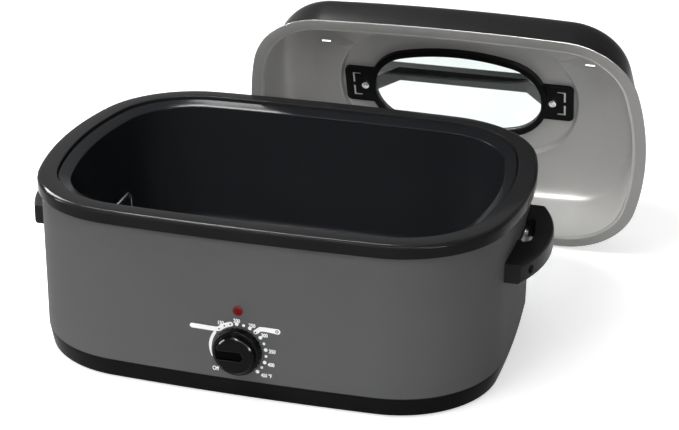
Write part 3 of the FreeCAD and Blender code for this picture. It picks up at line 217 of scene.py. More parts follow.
# Painted light: a light finish for the slabs that fill the plates' slots, where the slots would be
# in shade.
SLOT_PAINTED_LIGHT = material("slot_painted_light", colour(214, 214, 212), colour(196, 196, 194), 0.35,
                      metallic=0.3, bump=0.03, grain=900.0)
# Painted shade: a darker copy of the screws' chrome, for their cross recesses.
RECESS_PAINTED_SHADE = material("screw_recess_painted_shade", colour(70, 70, 72), colour(52, 52, 54), 0.4, metallic=0.8)
INK = material("dial_ink", colour(252, 252, 252), colour(244, 244, 244), 0.5, bump=0.02)
RED = material("red_lens", colour(118, 8, 8), colour(90, 5, 5), 0.5, grain=300.0, mottle=260.0,
               specular=0.02, transmission=0.1)
GLASS = material("window_glass", colour(225, 232, 230), colour(215, 224, 222), 0.03, bump=0.004,
                 transmission=1.0)

CAD_FINISHES = {
    "base_ring": BASE, "bottom_plate": STEEL, "base_screws": CHROME, "heat_shield": STEEL,
    "foot_front_left": RUBBER, "foot_front_right": RUBBER, "foot_rear_left": RUBBER,
    "foot_rear_right": RUBBER, "terminal_block": CERAMIC, "outer_housing": HOUSING,
    "top_collar": ENAMEL, "inner_liner": ENAMEL, "heating_band": FOIL, "insulation_wrap": WOOL,
    "thermostat_bracket": STEEL, "thermostat": STEEL, "indicator_lens": RED,
    "indicator_lamp": CERAMIC, "cord_gland": RUBBER, "handle_right": GRIP, "handle_left": GRIP,
    "handle_bracket_right": STEEL, "handle_bracket_left": STEEL,
    "handle_strap_right": STRAP_PAINTED_SHADE, "handle_strap_left": STRAP_PAINTED_SHADE, "handle_screws": CHROME,
    "knob": KNOB, "knob_shaft": BRASS, "knob_clip": STEEL, "roasting_pan": PAN,
    "rack_frame": RACK, "rack_rods": RACK, "rack_bail_right": RACK, "rack_bail_left": RACK,
    "lid_shell": LID_OUTSIDE, "window_gasket": RUBBER, "window_glass": GLASS,
    "window_frame_inner": WINDOW_TRIM, "window_frame_outer": WINDOW_TRIM, "lid_handle": WINDOW_TRIM,
    "lid_screws": CHROME,
}
for node, finish in CAD_FINISHES.items():
    for material_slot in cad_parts[node].material_slots:
        material_slot.material = finish


# ---- mesh tools -----------------------------------------------------------------------------

SIDE_STEPS = 26
CORNER_STEPS = 22
END_STEPS = 20
ROUNDED_STEPS = 6
SHARP_ANGLE = 32.0


def arc_points(centre, radius, first, last, steps):
    """Points from first towards last, anticlockwise round centre, without last."""
    begin = math.atan2(first[1] - centre[1], first[0] - centre[0])
    finish = math.atan2(last[1] - centre[1], last[0] - centre[0])
    if finish <= begin:
        finish += 2 * math.pi
    angles = [begin + (finish - begin) * step / steps for step in range(steps)]
    return [(centre[0] + radius * math.cos(a), centre[1] + radius * math.sin(a)) for a in angles]


def oval(half_length, half_width, side, end, corner):
    """The outline of eight tangent arcs: side, corner and end arcs, mirrored both ways."""
    front = (0.0, side - half_width)
    right = (half_length - end, 0.0)
    reach_front = side - corner
    reach_right = end - corner
    span = math.hypot(right[0], front[1])
    along = (reach_front ** 2 - reach_right ** 2 + span ** 2) / (2 * span)
    across = math.sqrt(max(reach_front ** 2 - along ** 2, 0.0))
    unit = (right[0] / span, -front[1] / span)
    choices = [(front[0] + unit[0] * along - unit[1] * across * way,
                front[1] + unit[1] * along + unit[0] * across * way) for way in (1, -1)]
    middle = max(choices, key=lambda point: point[0] - point[1])

    def beyond(centre, radius):
        length = math.hypot(middle[0] - centre[0], middle[1] - centre[1])
        return (centre[0] + (middle[0] - centre[0]) / length * radius,
                centre[1] + (middle[1] - centre[1]) / length * radius)

    side_join = beyond(front, side)
    end_join = beyond(right, end)
    half = [
        (front, side, (-side_join[0], side_join[1]), side_join, SIDE_STEPS),
        (middle, corner, side_join, end_join, CORNER_STEPS),
        (right, end, end_join, (end_join[0], -end_join[1]), END_STEPS),
        ((middle[0], -middle[1]), corner, (end_join[0], -end_join[1]),
         (side_join[0], -side_join[1]), CORNER_STEPS),
    ]
    points = []
    for centre, radius, first, last, count in half:
        points += arc_points(centre, radius, first, last, count)
    return points + [(-x, -y) for x, y in points]


def inset_oval(sizes, inset):
    """The outline of one of the ovals named above, drawn in by inset all round."""
    return oval(*[size - inset for size in sizes])


def rounded(corners):
    """A line through (across, up, radius) corners, each corner turned into an arc."""
    line = []
    count = len(corners)
    for index, (across, up, radius) in enumerate(corners):
        here = Vector((across, up))
        if radius <= 0:
            line.append((across, up))
            continue
        before = Vector(corners[index - 1][:2]) - here
        after = Vector(corners[(index + 1) % count][:2]) - here
        before.normalize()
        after.normalize()
        half = before.angle(after) / 2
        reach = radius / math.tan(half)
        centre = here + (before + after).normalized() * (radius / math.sin(half))
        start = here + before * reach - centre
        finish = here + after * reach - centre
        turn = start.angle_signed(finish)
        for step in range(ROUNDED_STEPS + 1):
            angle = -turn * step / ROUNDED_STEPS
            spoke = Vector((start.x * math.cos(angle) - start.y * math.sin(angle),
                            start.x * math.sin(angle) + start.y * math.cos(angle)))
            line.append(tuple(centre + spoke))
    return line


def add_loop(data, points):
    """One new vertex for each point."""
    return [data.verts.new(point) for point in points]


def join(data, first, second, slot=0):
    """Quads between two matching loops of vertices, in one of the mesh's materials."""
    count = len(first)
    for index in range(count):
        follower = (index + 1) % count
        face = data.faces.new((first[index], first[follower], second[follower], second[index]))
        face.material_index = slot


def prism(data, first, second):
    """A closed piece between two matching loops of points: its two ends, then its wall."""
    loops = [add_loop(data, first), add_loop(data, second)]
    for loop in loops:
        data.faces.new(loop)
    join(data, *loops)


def finish_mesh(name, data, finishes, sharp=SHARP_ANGLE):
    """Turns a bmesh into a smooth-shaded object with its materials."""
    bmesh.ops.recalc_face_normals(data, faces=data.faces)
    mesh = bpy.data.meshes.new(name)
    data.to_mesh(mesh)
    data.free()
    mesh.shade_smooth()
    mesh.set_sharp_from_angle(angle=math.radians(sharp))
    for each in finishes:
        mesh.materials.append(each)
    made = bpy.data.objects.new(name, mesh)
    bpy.context.scene.collection.objects.link(made)
    return made


def skin(name, rings, finish):
    """Joins rings of points into a closed skin, in which the last ring meets the first."""
    data = bmesh.new()
    loops = [add_loop(data, ring) for ring in rings]
    for first, second in zip(loops, loops[1:] + loops[:1]):
        join(data, first, second)
    return finish_mesh(name, data, [finish])


def section_rings(section, sizes):
    """A line of (inset, height) points, carried round an oval as one ring for each point."""
    return [[(x, y, up) for x, y in inset_oval(sizes, inset)] for inset, up in section]


def stand_for(piece, body, slot_name, *nodes):
    """Puts a piece on its body, in the place of the CAD nodes that it shows; slot_name is not used.
    """
    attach(piece, body)
    if nodes:
        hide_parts(*nodes)


# ---- base, housing, collar, pan -------------------------------------------------------------

def make_base_ring():
    """The ring that carries the walls, with a flange inwards at its foot."""
    low = RING_LOW.z
    high = RING_HIGH.z
    taper = 0.004
    inside = OVERHANG + 0.007
    flange = OVERHANG + 0.025
    flange_top = low + 0.005
    section = rounded([
        (OVERHANG + taper, low, 0.0012),
        (flange, low, 0.0008),
        (flange - taper, flange_top, 0.0),
        (inside, flange_top, 0.0),
        (inside, high, 0.0),
        (OVERHANG, high, 0.0015),
    ])
    made = skin("base_ring_skin", section_rings(section, WALL_OVAL), BASE)
    stand_for(made, "oven", "base_plastic", "base_ring")


def make_housing():
    """The painted wrap, which goes up inside the collar."""
    inside = OVERHANG + 0.0015
    foot = RING_HIGH.z
    lower_ring = 0.08
    upper_ring = 0.14
    top = RIM_TOP - 0.002
    section = [(OVERHANG, foot), (OVERHANG, lower_ring), (OVERHANG, upper_ring),
               (OVERHANG, top), (inside, top), (inside, foot)]
    made = skin("housing_skin", section_rings(section, WALL_OVAL), HOUSING)
    stand_for(made, "oven", "housing_paint", "outer_housing")


def make_collar():
    """The rim: a flat top, a wall outside, and a ledge inside for the pan's lip."""
    gauge = 0.002
    ledge = 0.022
    ledge_end = 0.034
    section = rounded([
        (0.0, RIM_TOP, 0.0045),
        (ledge, RIM_TOP, 0.001),
        (ledge, PAN_SEAT, 0.0),
        (ledge_end, PAN_SEAT, 0.0),
        (ledge_end, PAN_SEAT - gauge, 0.0),
        (ledge - gauge, PAN_SEAT - gauge, 0.0),
        (ledge - gauge, RIM_TOP - gauge, 0.0),
        (gauge, RIM_TOP - gauge, 0.0025),
        (gauge, COLLAR_FOOT, 0.0005),
        (0.0, COLLAR_FOOT, 0.0005),
    ])
    made = skin("collar_skin", section_rings(section, RIM_OVAL), ENAMEL)
    stand_for(made, "oven", "rim_enamel", "top_collar")


def make_pan():
    """The pan: an inside and an underside, joined over the lip, each with its own floor."""
    pan_low, pan_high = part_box("roasting_pan")
    gauge = 0.0016
    lip = HALF_LENGTH - pan_high.x
    top = pan_high.z
    mouth = 0.037
    mouth_height = top - 0.006
    floor = pan_low.z
    floor_edge = 0.0425
    floor_flat = 0.075
    corner_radius = 0.012
    inner = rounded([
        (lip, PAN_SEAT, 0.0),
        (lip, top, 0.002),
        (mouth, mouth_height, 0.002),
        (floor_edge, floor + gauge, corner_radius),
        (floor_flat, floor + gauge, 0.0),
    ])
    under = [(0.062, floor), (0.049, floor + 0.001), (0.0405, floor + 0.0095),
             (mouth - gauge, mouth_height - gauge), (lip + gauge, top - gauge * 1.3),
             (lip + gauge, PAN_SEAT)]
    data = bmesh.new()
    loops = [add_loop(data, ring) for ring in section_rings(inner + under, RIM_OVAL)]
    last_inside = len(inner) - 1
    for index, loop in enumerate(loops):
        if index != last_inside:
            join(data, loop, loops[(index + 1) % len(loops)])
    data.faces.new(loops[last_inside])
    data.faces.new(loops[last_inside + 1])
    stand_for(finish_mesh("pan_skin", data, [PAN]), "pan", "pan_enamel", "roasting_pan")


make_base_ring()
make_housing()
make_collar()
make_pan()


# ---- lid ------------------------------------------------------------------------------------

LEAN = math.radians(20.0)
LID_ALONG = 0.127
LID_FOOT_Y = 0.292
LID_HALF_WIDTH = 0.167
LID_ORIGIN = Vector((LID_ALONG, LID_FOOT_Y - LID_HALF_WIDTH * math.sin(LEAN),
                     LID_HALF_WIDTH * math.cos(LEAN)))
LID_AXES = Matrix((
    (1.0, 0.0, 0.0),
    (0.0, math.sin(LEAN), math.cos(LEAN)),
    (0.0, -math.cos(LEAN), math.sin(LEAN)),
))
LID_CROWN = 0.090
LID_GAUGE = 0.0016
LID_INSET = 0.029
LID_EDGE_INSET = 0.0149
LID_EDGE_RADIUS = 0.0022
LID_EDGE_ANGLES = (0, 22, 45, 67, 90)
LID_SHARP_ANGLE = 40.0
WINDOW_EDGES = (0.010, 0.001)
DOME_STEPS = 6
VENT_ALONG = 0.166
VENT_ACROSS = -0.067
VENT_HALF_LENGTH = 0.006
VENT_HALF_WIDTH = 0.002
NEAR_VENT_ALONG = 0.025
NEAR_VENT_ACROSS = 0.017
NEAR_VENT_HEIGHT = 0.03
CUT_TOLERANCE = 1e-7


def on_lid(x, y, z):
    """A point of the lid's own frame, in the frame of the whole oven."""
    return LID_ORIGIN + LID_AXES @ Vector((x, y, z))


def in_lid(point):
    """A point of the whole oven's frame, in the lid's own frame."""
    return LID_AXES.transposed() @ (point - LID_ORIGIN)


def smooth_line(points, steps):
    """A Catmull-Rom line through points."""
    line = []
    for index in range(len(points) - 1):
        before = Vector(points[max(index - 1, 0)])
        first = Vector(points[index])
        second = Vector(points[index + 1])
        after = Vector(points[min(index + 2, len(points) - 1)])
        for step in range(steps):
            t = step / steps
            spot = (first * 2 + (second - before) * t
                    + (before * 2 - first * 5 + second * 4 - after) * t * t
                    + (first * 3 - before - second * 3 + after) * t * t * t) / 2
            line.append(tuple(spot))
    line.append(tuple(points[-1]))
    return line


def lid_ring(sizes, inset, height):
    """One of the ovals, at a height above the plane of the lid's flange."""
    return [on_lid(x, y, height) for x, y in inset_oval(sizes, inset)]


def lid_rings(shell, step_up, crown):
    """The rings of one face of the lid's sheet, from the flange's edge to the window."""
    rings = [lid_ring(RIM_OVAL, LID_INSET + inset, height) for inset, height in shell]
    rings += [lid_ring(PLATEAU_OVAL, inset, height) for inset, height in step_up]
    return rings + [lid_ring(WINDOW_OVAL, -grow, crown) for grow in WINDOW_EDGES]


def inside_of(line):
    """A line of (inset, height) points on the lid's outside, moved to its inside."""
    return [(inset + LID_GAUGE, height - LID_GAUGE) for inset, height in line]


def cut_vent(data, middle):
    """Cuts a slot through both skins of the lid and closes its edge."""

    def faces_within(along, across):
        faces = []
        for face in data.faces:
            spot = in_lid(face.calc_center_median())
            if (abs(spot.x - middle[0]) < along and abs(spot.y - middle[1]) < across
                    and spot.z > NEAR_VENT_HEIGHT):
                faces.append(face)
        return faces

    for along, across in ((-1, 0), (1, 0), (0, -1), (0, 1)):
        faces = faces_within(NEAR_VENT_ALONG, NEAR_VENT_ACROSS)
        edges = list({edge for face in faces for edge in face.edges})
        verts = list({vert for face in faces for vert in face.verts})
        bmesh.ops.bisect_plane(data, geom=faces + edges + verts, dist=CUT_TOLERANCE,
                               plane_co=on_lid(middle[0] + along * VENT_HALF_LENGTH,
                                               middle[1] + across * VENT_HALF_WIDTH, 0.0),
                               plane_no=LID_AXES @ Vector((along, across, 0.0)))
    gone = faces_within(VENT_HALF_LENGTH, VENT_HALF_WIDTH)
    bmesh.ops.delete(data, geom=gone, context="FACES")
    bmesh.ops.bridge_loops(data, edges=[edge for edge in data.edges if edge.is_boundary])


def make_lid():
    """The pressed lid: flange, dome and plateau round the window, with two steam vents."""
    dome = smooth_line([(0.0145, 0.0016), (0.0150, 0.018), (0.0157, 0.0384), (0.0179, 0.0595),
                        (0.0235, 0.0704), (0.0365, 0.0781), (0.0585, 0.0832)], DOME_STEPS)
    flange = [(0.0, 0.0004), (0.0, 0.0012), (0.0004, 0.0016), (0.0135, 0.0016)]
    step_up = [(-0.0015, 0.0832), (-0.0004, 0.0838), (0.0005, 0.0858), (0.0012, 0.0886),
               (0.0024, 0.0897), (0.0042, LID_CROWN)]
    turn = LID_EDGE_RADIUS
    edge = [(LID_EDGE_INSET - turn + turn * math.sin(math.radians(angle)),
             turn - turn * math.cos(math.radians(angle))) for angle in LID_EDGE_ANGLES]
    inner = [(0.0004, 0.0)] + edge + inside_of(dome[1:])
    outside = lid_rings(flange + dome, step_up, LID_CROWN)
    inside = lid_rings(inner, inside_of(step_up), LID_CROWN - LID_GAUGE)
    data = bmesh.new()
    loops = [add_loop(data, ring) for ring in outside + inside[::-1]]
    # The flange's inner band and edge take the third finish, the painted shade.
    slots = [0] * (len(outside) - 1) + [1] * (len(inside) - 1) + [2, 2]
    for slot, first, second in zip(slots, loops, loops[1:] + loops[:1]):
        join(data, first, second, slot)
    for side in (1, -1):
        cut_vent(data, (side * VENT_ALONG, VENT_ACROSS))
    made = finish_mesh("lid_skin", data, [LID_OUTSIDE, LID_INSIDE, LID_RIM_PAINTED_SHADE], LID_SHARP_ANGLE)
    stand_for(made, "lid", "lid_enamel", "lid_shell")


make_lid()


# ---- dial -----------------------------------------------------------------------------------

DIAL_HEIGHT = 0.0595
DIAL_RADIUS = 0.031
INK_PROUD = 0.00015
OVERPRINT_PROUD = 2 * INK_PROUD
LARGE_DOT = 0.0021
SMALL_DOT = 0.0016
PIP = 0.0009
BAND_WIDTH = 0.0054
BAND_END_STEPS = 8
WARM_OUT = 0.0004
WARM_WIDTH = 0.0034
WARM_TAPER = 0.0023
WARM_TAPER_FROM = 9
RIGHT_RING = (0.0430, 0.0283)
RIGHT_RING_OUTER = 0.0018
RIGHT_RING_INNER = 0.0010
DISC_STEPS = 28
RIGHT_RING_STEPS = 20
CAPITAL_SHARE = 0.7
LETTER_WEIGHT = 0.00018
LETTER_STEPS = 4
NUMBER_HEIGHT = 0.0043
NUMBER_SQUEEZE = 0.8


def on_face(x, z, proud):
    """A point of the front panel, x along and z up from the dial's centre."""
    panel_radius = SIDE_ARC - OVERHANG
    bend = panel_radius - math.sqrt(panel_radius ** 2 - x ** 2)
    return Vector((x, PANEL_Y + bend - proud, DIAL_HEIGHT + z))


def printed(name, outlines, finish=INK, proud=INK_PROUD):
    """Flat print on the front panel: each outline is a list of (x, z) points."""
    data = bmesh.new()
    for outline in outlines:
        prism(data, *[[on_face(x, z, level) for x, z in outline] for level in (proud, 0.0)])
    stand_for(finish_mesh(name, data, [finish]), "oven", "housing_paint")


def disc(x, z, radius, count=DISC_STEPS):
    """A circle of points, anticlockwise round (x, z)."""
    return [(x + radius * math.cos(2 * math.pi * step / count),
             z + radius * math.sin(2 * math.pi * step / count)) for step in range(count)]


def at_dial(degrees, radius):
    """A point at degrees clockwise from straight up."""
    angle = math.radians(degrees)
    return (radius * math.sin(angle), radius * math.cos(angle))


def ribbon(path, widths):
    """The outline of a band of changing width along path, with round ends."""
    left = []
    right = []
    count = len(path)
    for index, (x, z) in enumerate(path):
        before = Vector(path[max(index - 1, 0)])
        after = Vector(path[min(index + 1, count - 1)])
        along = (after - before).normalized()
        across = Vector((-along.y, along.x)) * widths[index] / 2
        left.append((x + across.x, z + across.y))
        right.append((x - across.x, z - across.y))
    outline = list(left)
    for end, way in ((count - 1, 1), (0, -1)):
        x, z = path[end]
        other = path[end - way]
        along = (Vector((x, z)) - Vector(other)).normalized()
        across = Vector((-along.y, along.x))
        radius = widths[end] / 2
        for step in range(1, BAND_END_STEPS):
            angle = math.pi * step / BAND_END_STEPS
            spot = across * math.cos(angle) * radius + along * math.sin(angle) * radius
            outline.append((x + spot.x, z + spot.y))
        if way == 1:
            outline += right[::-1]
    return outline


def make_dial():
    """The dots and bands round the knob; the pips and the right ring are dark, over the ink."""
    large = [-2.5, 25.2, 52.9, 80.8, 109.3, 136.6]
    small = [11.6, 67.3, 95.1, 122.8]
    dots = [disc(*at_dial(degrees, DIAL_RADIUS), LARGE_DOT) for degrees in large]
    dots += [disc(*at_dial(degrees, DIAL_RADIUS), SMALL_DOT) for degrees in small]
    printed("dial_dots", dots)
    warm = [at_dial(degrees, DIAL_RADIUS + WARM_OUT) for degrees in range(-56, -111, -3)]
    tapered = len(warm) - 1 - WARM_TAPER_FROM
    widths = [WARM_WIDTH - WARM_TAPER * max(index - WARM_TAPER_FROM, 0) / tapered
              for index in range(len(warm))]
    printed("dial_warm_arc", [ribbon(warm, widths)])
    rising = [(-0.0515, 0.0222), (-0.042, 0.0221), (-0.032, 0.0219), (-0.0245, 0.0219)]
    rising += [at_dial(degrees, DIAL_RADIUS) for degrees in (-43, -38, -33, -28, -23, -18, -15)]
    printed("dial_left_band", [ribbon(rising, [BAND_WIDTH] * len(rising))])
    falling = [at_dial(38.6, DIAL_RADIUS + 0.0005), (0.0217, 0.0263), (0.0243, 0.0287),
               (0.0300, 0.0290), (0.0370, 0.0287), (0.0437, 0.0283)]
    printed("dial_right_band", [ribbon(falling, [0.0052] * 4 + [0.0054, 0.0062])])
    pips = [disc(*at_dial(degrees, DIAL_RADIUS), PIP) for degrees in (-43, -29.2, -16, 38.6)]
    printed("dial_pips", pips, BASE, OVERPRINT_PROUD)
    section = [(RIGHT_RING_OUTER, OVERPRINT_PROUD), (RIGHT_RING_INNER, OVERPRINT_PROUD),
               (RIGHT_RING_INNER, 0.0), (RIGHT_RING_OUTER, 0.0)]
    rings = [[on_face(x, z, proud) for x, z in disc(*RIGHT_RING, radius, RIGHT_RING_STEPS)]
             for radius, proud in section]
    stand_for(skin("dial_right_ring", rings, BASE), "oven", "housing_paint")


def lettered(name, words, x, z, height, squeeze):
    """Raised print of one short text, centred at (x, z) from the dial's centre."""
    curve = bpy.data.curves.new(name, "FONT")
    curve.body = words
    curve.size = height / CAPITAL_SHARE
    curve.align_x = "CENTER"
    curve.align_y = "CENTER"
    curve.offset = LETTER_WEIGHT
    curve.resolution_u = LETTER_STEPS
    source = bpy.data.objects.new(name + "_curve", curve)
    bpy.context.scene.collection.objects.link(source)
    bpy.context.view_layer.update()
    mesh = bpy.data.meshes.new_from_object(source)
    bpy.data.objects.remove(source)
    bpy.data.curves.remove(curve)
    data = bmesh.new()
    data.from_mesh(mesh)
    bpy.data.meshes.remove(mesh)
    lifted = bmesh.ops.extrude_face_region(data, geom=data.faces[:])
    raised = {vert for vert in lifted["geom"] if isinstance(vert, bmesh.types.BMVert)}
    for vert in data.verts:
        proud = INK_PROUD if vert in raised else 0.0
        vert.co = on_face(x + vert.co.x * squeeze, z + vert.co.y, proud)
    stand_for(finish_mesh(name, data, [INK]), "oven", "housing_paint")


def make_numbers():
    places = {"150": (-0.0194, 0.0297), "200": (-0.0014, 0.0346), "250": (0.0156, 0.0313),
              "300": (0.0292, 0.0217), "350": (0.0377, 0.0036), "400": (0.0364, -0.0124)}
    for words, (x, z) in places.items():
        lettered("dial_" + words, words, x, z, NUMBER_HEIGHT, NUMBER_SQUEEZE)
    lettered("dial_450", "450 \u00b0F", 0.0312, -0.0262, 0.0042, 0.76)
    lettered("dial_off", "Off", -0.0258, -0.0256, 0.0047, NUMBER_SQUEEZE)


make_dial()
make_numbers()


# ---- painted shade in the knob's slot -------------------------------------------------------

KNOB_SLOT_Y = PANEL_Y - 0.0105
KNOB_SLOT_GAUGE = 0.0001
KNOB_SLOT_HALF = 0.0054
KNOB_SLOT_REACH = 0.0230
KNOB_SLOT_SHOULDER = 0.0069
KNOB_SLOT_TIP = 0.0098
KNOB_TURN = math.radians(1.0)


def make_knob_slot_painted_shade():
    """Painted shade: a dark matt sheet in the knob's finger slot, open at its left end."""
    half = KNOB_SLOT_HALF
    outline = [(-math.sqrt(KNOB_SLOT_REACH ** 2 - across ** 2), across)
               for across in (half, half / 2, 0.0, -half / 2, -half)]
    outline += [(KNOB_SLOT_SHOULDER, -half), (KNOB_SLOT_TIP, 0.0), (KNOB_SLOT_SHOULDER, half)]
    turn, lean = math.cos(KNOB_TURN), math.sin(KNOB_TURN)
    data = bmesh.new()
    prism(data, *[[(x * turn - z * lean, KNOB_SLOT_Y - proud, DIAL_HEIGHT + x * lean + z * turn)
                   for x, z in outline] for proud in (0.0, KNOB_SLOT_GAUGE)])
    stand_for(finish_mesh("knob_slot_painted_shade", data, [SLOT_SHADE]), "knob", "knob_plastic")


make_knob_slot_painted_shade()


# ---- screw heads, and painted light in the slots of the window's plates ---------------------

HANDLE_SCREW_ACROSS = 0.064
HANDLE_SCREW_HEIGHT = 0.136
HANDLE_SCREW_HEAD = (0.0042, 0.0029)
LID_SCREW_ALONG = 0.120
LID_SCREW_HEAD = (0.0048, 0.0027)
HEAD_STEPS = 40
HEAD_PROFILE = ((1.0, 0.0), (1.0, 0.35), (0.95, 0.62), (0.84, 0.84), (0.70, 0.95), (0.60, 1.0))
CROSS_REACH = 0.52
CROSS_HALF_WIDTH = 0.13
PIT_SHARE = 0.8
PIT_LEVEL = 0.35
PLATE_FACE = LID_CROWN - LID_GAUGE - 0.004
SLOT_ALONG = 0.135
SLOT_HALF_SPAN = 0.018
SLOT_ARM = 0.010
SLOT_WIDTH = 0.0024
SLOT_BRIDGE_HALF = 0.0025
SLOT_CLEARANCE = 0.0001
SLOT_PAINTED_LIGHT_LEVELS = (PLATE_FACE + 0.0004, PLATE_FACE + 0.0034)


def screw_head(name, body, middle, axis, radius, height):
    """A domed head with a cross recess; middle is the centre of its foot, axis points outwards."""
    up = Vector(axis).normalized()
    side = Vector((0.0, 0.0, 1.0)) if abs(up.z) < 0.9 else Vector((1.0, 0.0, 0.0))
    side = (side - up * side.dot(up)).normalized()
    front = up.cross(side)
    data = bmesh.new()

    def loop(points, level):
        return add_loop(data, [Vector(middle) + side * across + front * along + up * level
                               for across, along in points])

    circles = [loop(disc(0.0, 0.0, radius * wide, HEAD_STEPS), height * tall)
               for wide, tall in HEAD_PROFILE]
    for first, second in zip(circles, circles[1:]):
        join(data, first, second)
    data.faces.new(circles[0])
    reach = radius * CROSS_REACH
    narrow = radius * CROSS_HALF_WIDTH
    cross = [(reach, -narrow), (reach, narrow), (narrow, narrow), (narrow, reach),
             (-narrow, reach), (-narrow, narrow), (-reach, narrow), (-reach, -narrow),
             (-narrow, -narrow), (-narrow, -reach), (narrow, -reach), (narrow, -narrow)]
    mouth = loop(cross, height)
    pit = loop([(across * PIT_SHARE, along * PIT_SHARE) for across, along in cross],
               height * PIT_LEVEL)
    # The cross recess takes the second finish, the painted shade.
    join(data, mouth, pit, 1)
    data.faces.new(pit).material_index = 1
    rims = [data.edges.get((ring[index], ring[(index + 1) % len(ring)]))
            for ring in (circles[-1], mouth) for index in range(len(ring))]
    bmesh.ops.triangle_fill(data, use_beauty=True, edges=rims)
    stand_for(finish_mesh(name, data, [CHROME, RECESS_PAINTED_SHADE]), body, "bright_screw")


def make_slot_painted_light(side, label):
    """Painted light: a light slab that fills a plate's two bracket-shaped slots."""
    half = SLOT_WIDTH / 2 - SLOT_CLEARANCE
    outer = SLOT_HALF_SPAN + half
    bridge = SLOT_BRIDGE_HALF + SLOT_CLEARANCE
    outline = [(SLOT_ALONG + half, bridge), (SLOT_ALONG + half, outer),
               (SLOT_ALONG - SLOT_ARM + half, outer),
               (SLOT_ALONG - SLOT_ARM + half, outer - 2 * half),
               (SLOT_ALONG - half, outer - 2 * half), (SLOT_ALONG - half, bridge)]
    data = bmesh.new()
    for end in (1, -1):
        prism(data, *[[on_lid(side * x, end * y, z) for x, y in outline]
                      for z in SLOT_PAINTED_LIGHT_LEVELS])
    stand_for(finish_mesh("plate_slot_painted_light_" + label, data, [SLOT_PAINTED_LIGHT]), "lid", "lid_enamel")


def make_screw_heads():
    inward = LID_AXES @ Vector((0.0, 0.0, -1.0))
    for side, label in ((1, "right"), (-1, "left")):
        for end, place in ((-1, "front"), (1, "rear")):
            middle = (side * HALF_LENGTH, end * HANDLE_SCREW_ACROSS, HANDLE_SCREW_HEIGHT)
            screw_head("handle_screw_head_%s_%s" % (label, place), "oven", middle,
                       (side, 0, 0), *HANDLE_SCREW_HEAD)
        middle = on_lid(side * LID_SCREW_ALONG, 0.0, PLATE_FACE)
        screw_head("lid_screw_head_" + label, "lid", middle, inward, *LID_SCREW_HEAD)
        make_slot_painted_light(side, label)


make_screw_heads()


# ---- stage ----------------------------------------------------------------------------------

WHITE = (1, 1, 1, 1)
FLOOR_SIZE = 14.0
FLOOR_BACK = 3.0
FLOOR_SHADE = (0.9, 0.9, 0.9, 1)
FLOOR_ROUGHNESS = 0.9
FLOOR_LIFT = 0.55
WORLD_STRENGTH = 0.28
STRIP_TARGET = Vector((0.0, 0.0, 0.12))


def seen_directly(nodes, links):
    """One for a ray from the camera, a reflection or a look through glass, otherwise nought."""
    rays = nodes.new("ShaderNodeLightPath")
    largest = rays.outputs["Is Camera Ray"]
    for kind in ("Is Glossy Ray", "Is Transmission Ray"):
        either = nodes.new("ShaderNodeMath")
        either.operation = "MAXIMUM"
        links.new(largest, either.inputs[0])
        links.new(rays.outputs[kind], either.inputs[1])
        largest = either.outputs[0]
    return largest


def backdrop_material():
    """White to the camera and to reflections, and a plain surface for shadows."""
    made = bpy.data.materials.new("floor_white")
    made.use_nodes = True
    nodes = made.node_tree.nodes
    links = made.node_tree.links
    shader = nodes["Principled BSDF"]
    shader.inputs["Base Color"].default_value = FLOOR_SHADE
    shader.inputs["Roughness"].default_value = FLOOR_ROUGHNESS
    shader.inputs["Specular IOR Level"].default_value = 0.0
    shader.inputs["Emission Color"].default_value = WHITE
    share = nodes.new("ShaderNodeMath")
    share.operation = "MULTIPLY"
    share.inputs[1].default_value = FLOOR_LIFT
    links.new(seen_directly(nodes, links), share.inputs[0])
    links.new(share.outputs[0], shader.inputs["Emission Strength"])
    return made


def make_stage():
    bpy.ops.mesh.primitive_plane_add(size=FLOOR_SIZE, location=(0, FLOOR_BACK, 0.0))
    floor = bpy.context.object
    floor.name = "floor"
    floor.data.materials.append(backdrop_material())
    world = bpy.data.worlds.new("studio")
    bpy.context.scene.world = world
    world.use_nodes = True
    nodes = world.node_tree.nodes
    links = world.node_tree.links
    plain = nodes["Background"]
    plain.inputs["Color"].default_value = WHITE
    plain.inputs["Strength"].default_value = WORLD_STRENGTH
    white = nodes.new("ShaderNodeBackground")
    white.inputs["Color"].default_value = WHITE
    mix = nodes.new("ShaderNodeMixShader")
    links.new(seen_directly(nodes, links), mix.inputs["Fac"])
    links.new(plain.outputs["Background"], mix.inputs[1])
    links.new(white.outputs["Background"], mix.inputs[2])
    links.new(mix.outputs["Shader"], nodes["World Output"].inputs["Surface"])


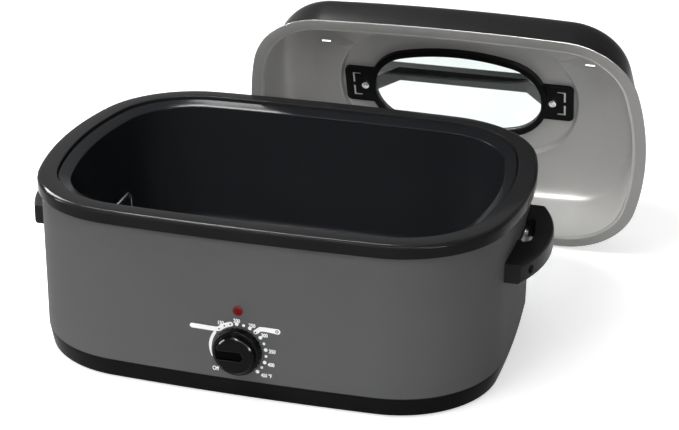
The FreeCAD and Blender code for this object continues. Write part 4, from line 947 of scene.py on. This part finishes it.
def make_lamp(name, place, target, width, height, power):
    data = bpy.data.lights.new(name, "AREA")
    data.shape = "RECTANGLE"
    data.size = width
    data.size_y = height
    data.energy = power
    lamp = bpy.data.objects.new(name, data)
    bpy.context.scene.collection.objects.link(lamp)
    lamp.location = place
    lamp.rotation_euler = (Vector(target) - Vector(place)).to_track_quat("-Z", "Y").to_euler()
    return lamp


def make_strip(name, start, end, width, power):
    """A lamp between two points, whose light shows only as a highlight in glossy surfaces."""
    first, last = Vector(start), Vector(end)
    middle = (first + last) / 2
    along = (last - first).normalized()
    back = middle - STRIP_TARGET
    back = (back - along * back.dot(along)).normalized()
    lamp = make_lamp(name, middle, STRIP_TARGET, (last - first).length, width, power)
    lamp.rotation_euler = Matrix((along, back.cross(along), back)).transposed().to_euler()
    lamp.visible_diffuse = False


make_stage()
# Lamps: name, place, target, width, height, watts. Strips: name, both ends, width, watts.
make_lamp("key", (-1.0, -1.9, 2.3), (0, 0, 0.1), 1.5, 1.2, 39.0)
make_lamp("front", (0.3, -2.8, 1.4), (0, 0, 0.12), 1.8, 0.9, 12.0)
make_lamp("top", (-0.3, 0.5, 2.8), (0, 0.1, 0.1), 2.0, 1.4, 6.0)
make_lamp("lid_glow", (-0.3, -0.2, 0.95), (0.25, 0.3, 0.05), 0.3, 0.2, 11.0)
make_lamp("back", (0.6, 2.6, 1.7), (0.1, 0.2, 0.1), 1.6, 1.0, 12.0).visible_glossy = False
make_strip("strip_collar", (-1.95, 0.15, 1.1), (-1.3, 0.95, 1.45), 0.7, 270.0)
make_strip("strip_back", (-1.2, 0.65, 1.9), (-0.6, 1.2, 1.9), 0.3, 65.0)
make_strip("strip_knob_left", (-1.59, -0.32, 0.19), (-1.34, -0.64, 0.83), 0.025, 22.0)
make_strip("strip_knob_right", (-0.40, -0.98, 1.54), (1.5, -0.93, 0.28), 0.035, 85.0)
make_strip("strip_edge", (-1.08, 0.81, 2.4), (-0.12, 0.81, 2.4), 0.3, 240.0)
bpy.context.scene.view_settings.view_transform = "Standard"
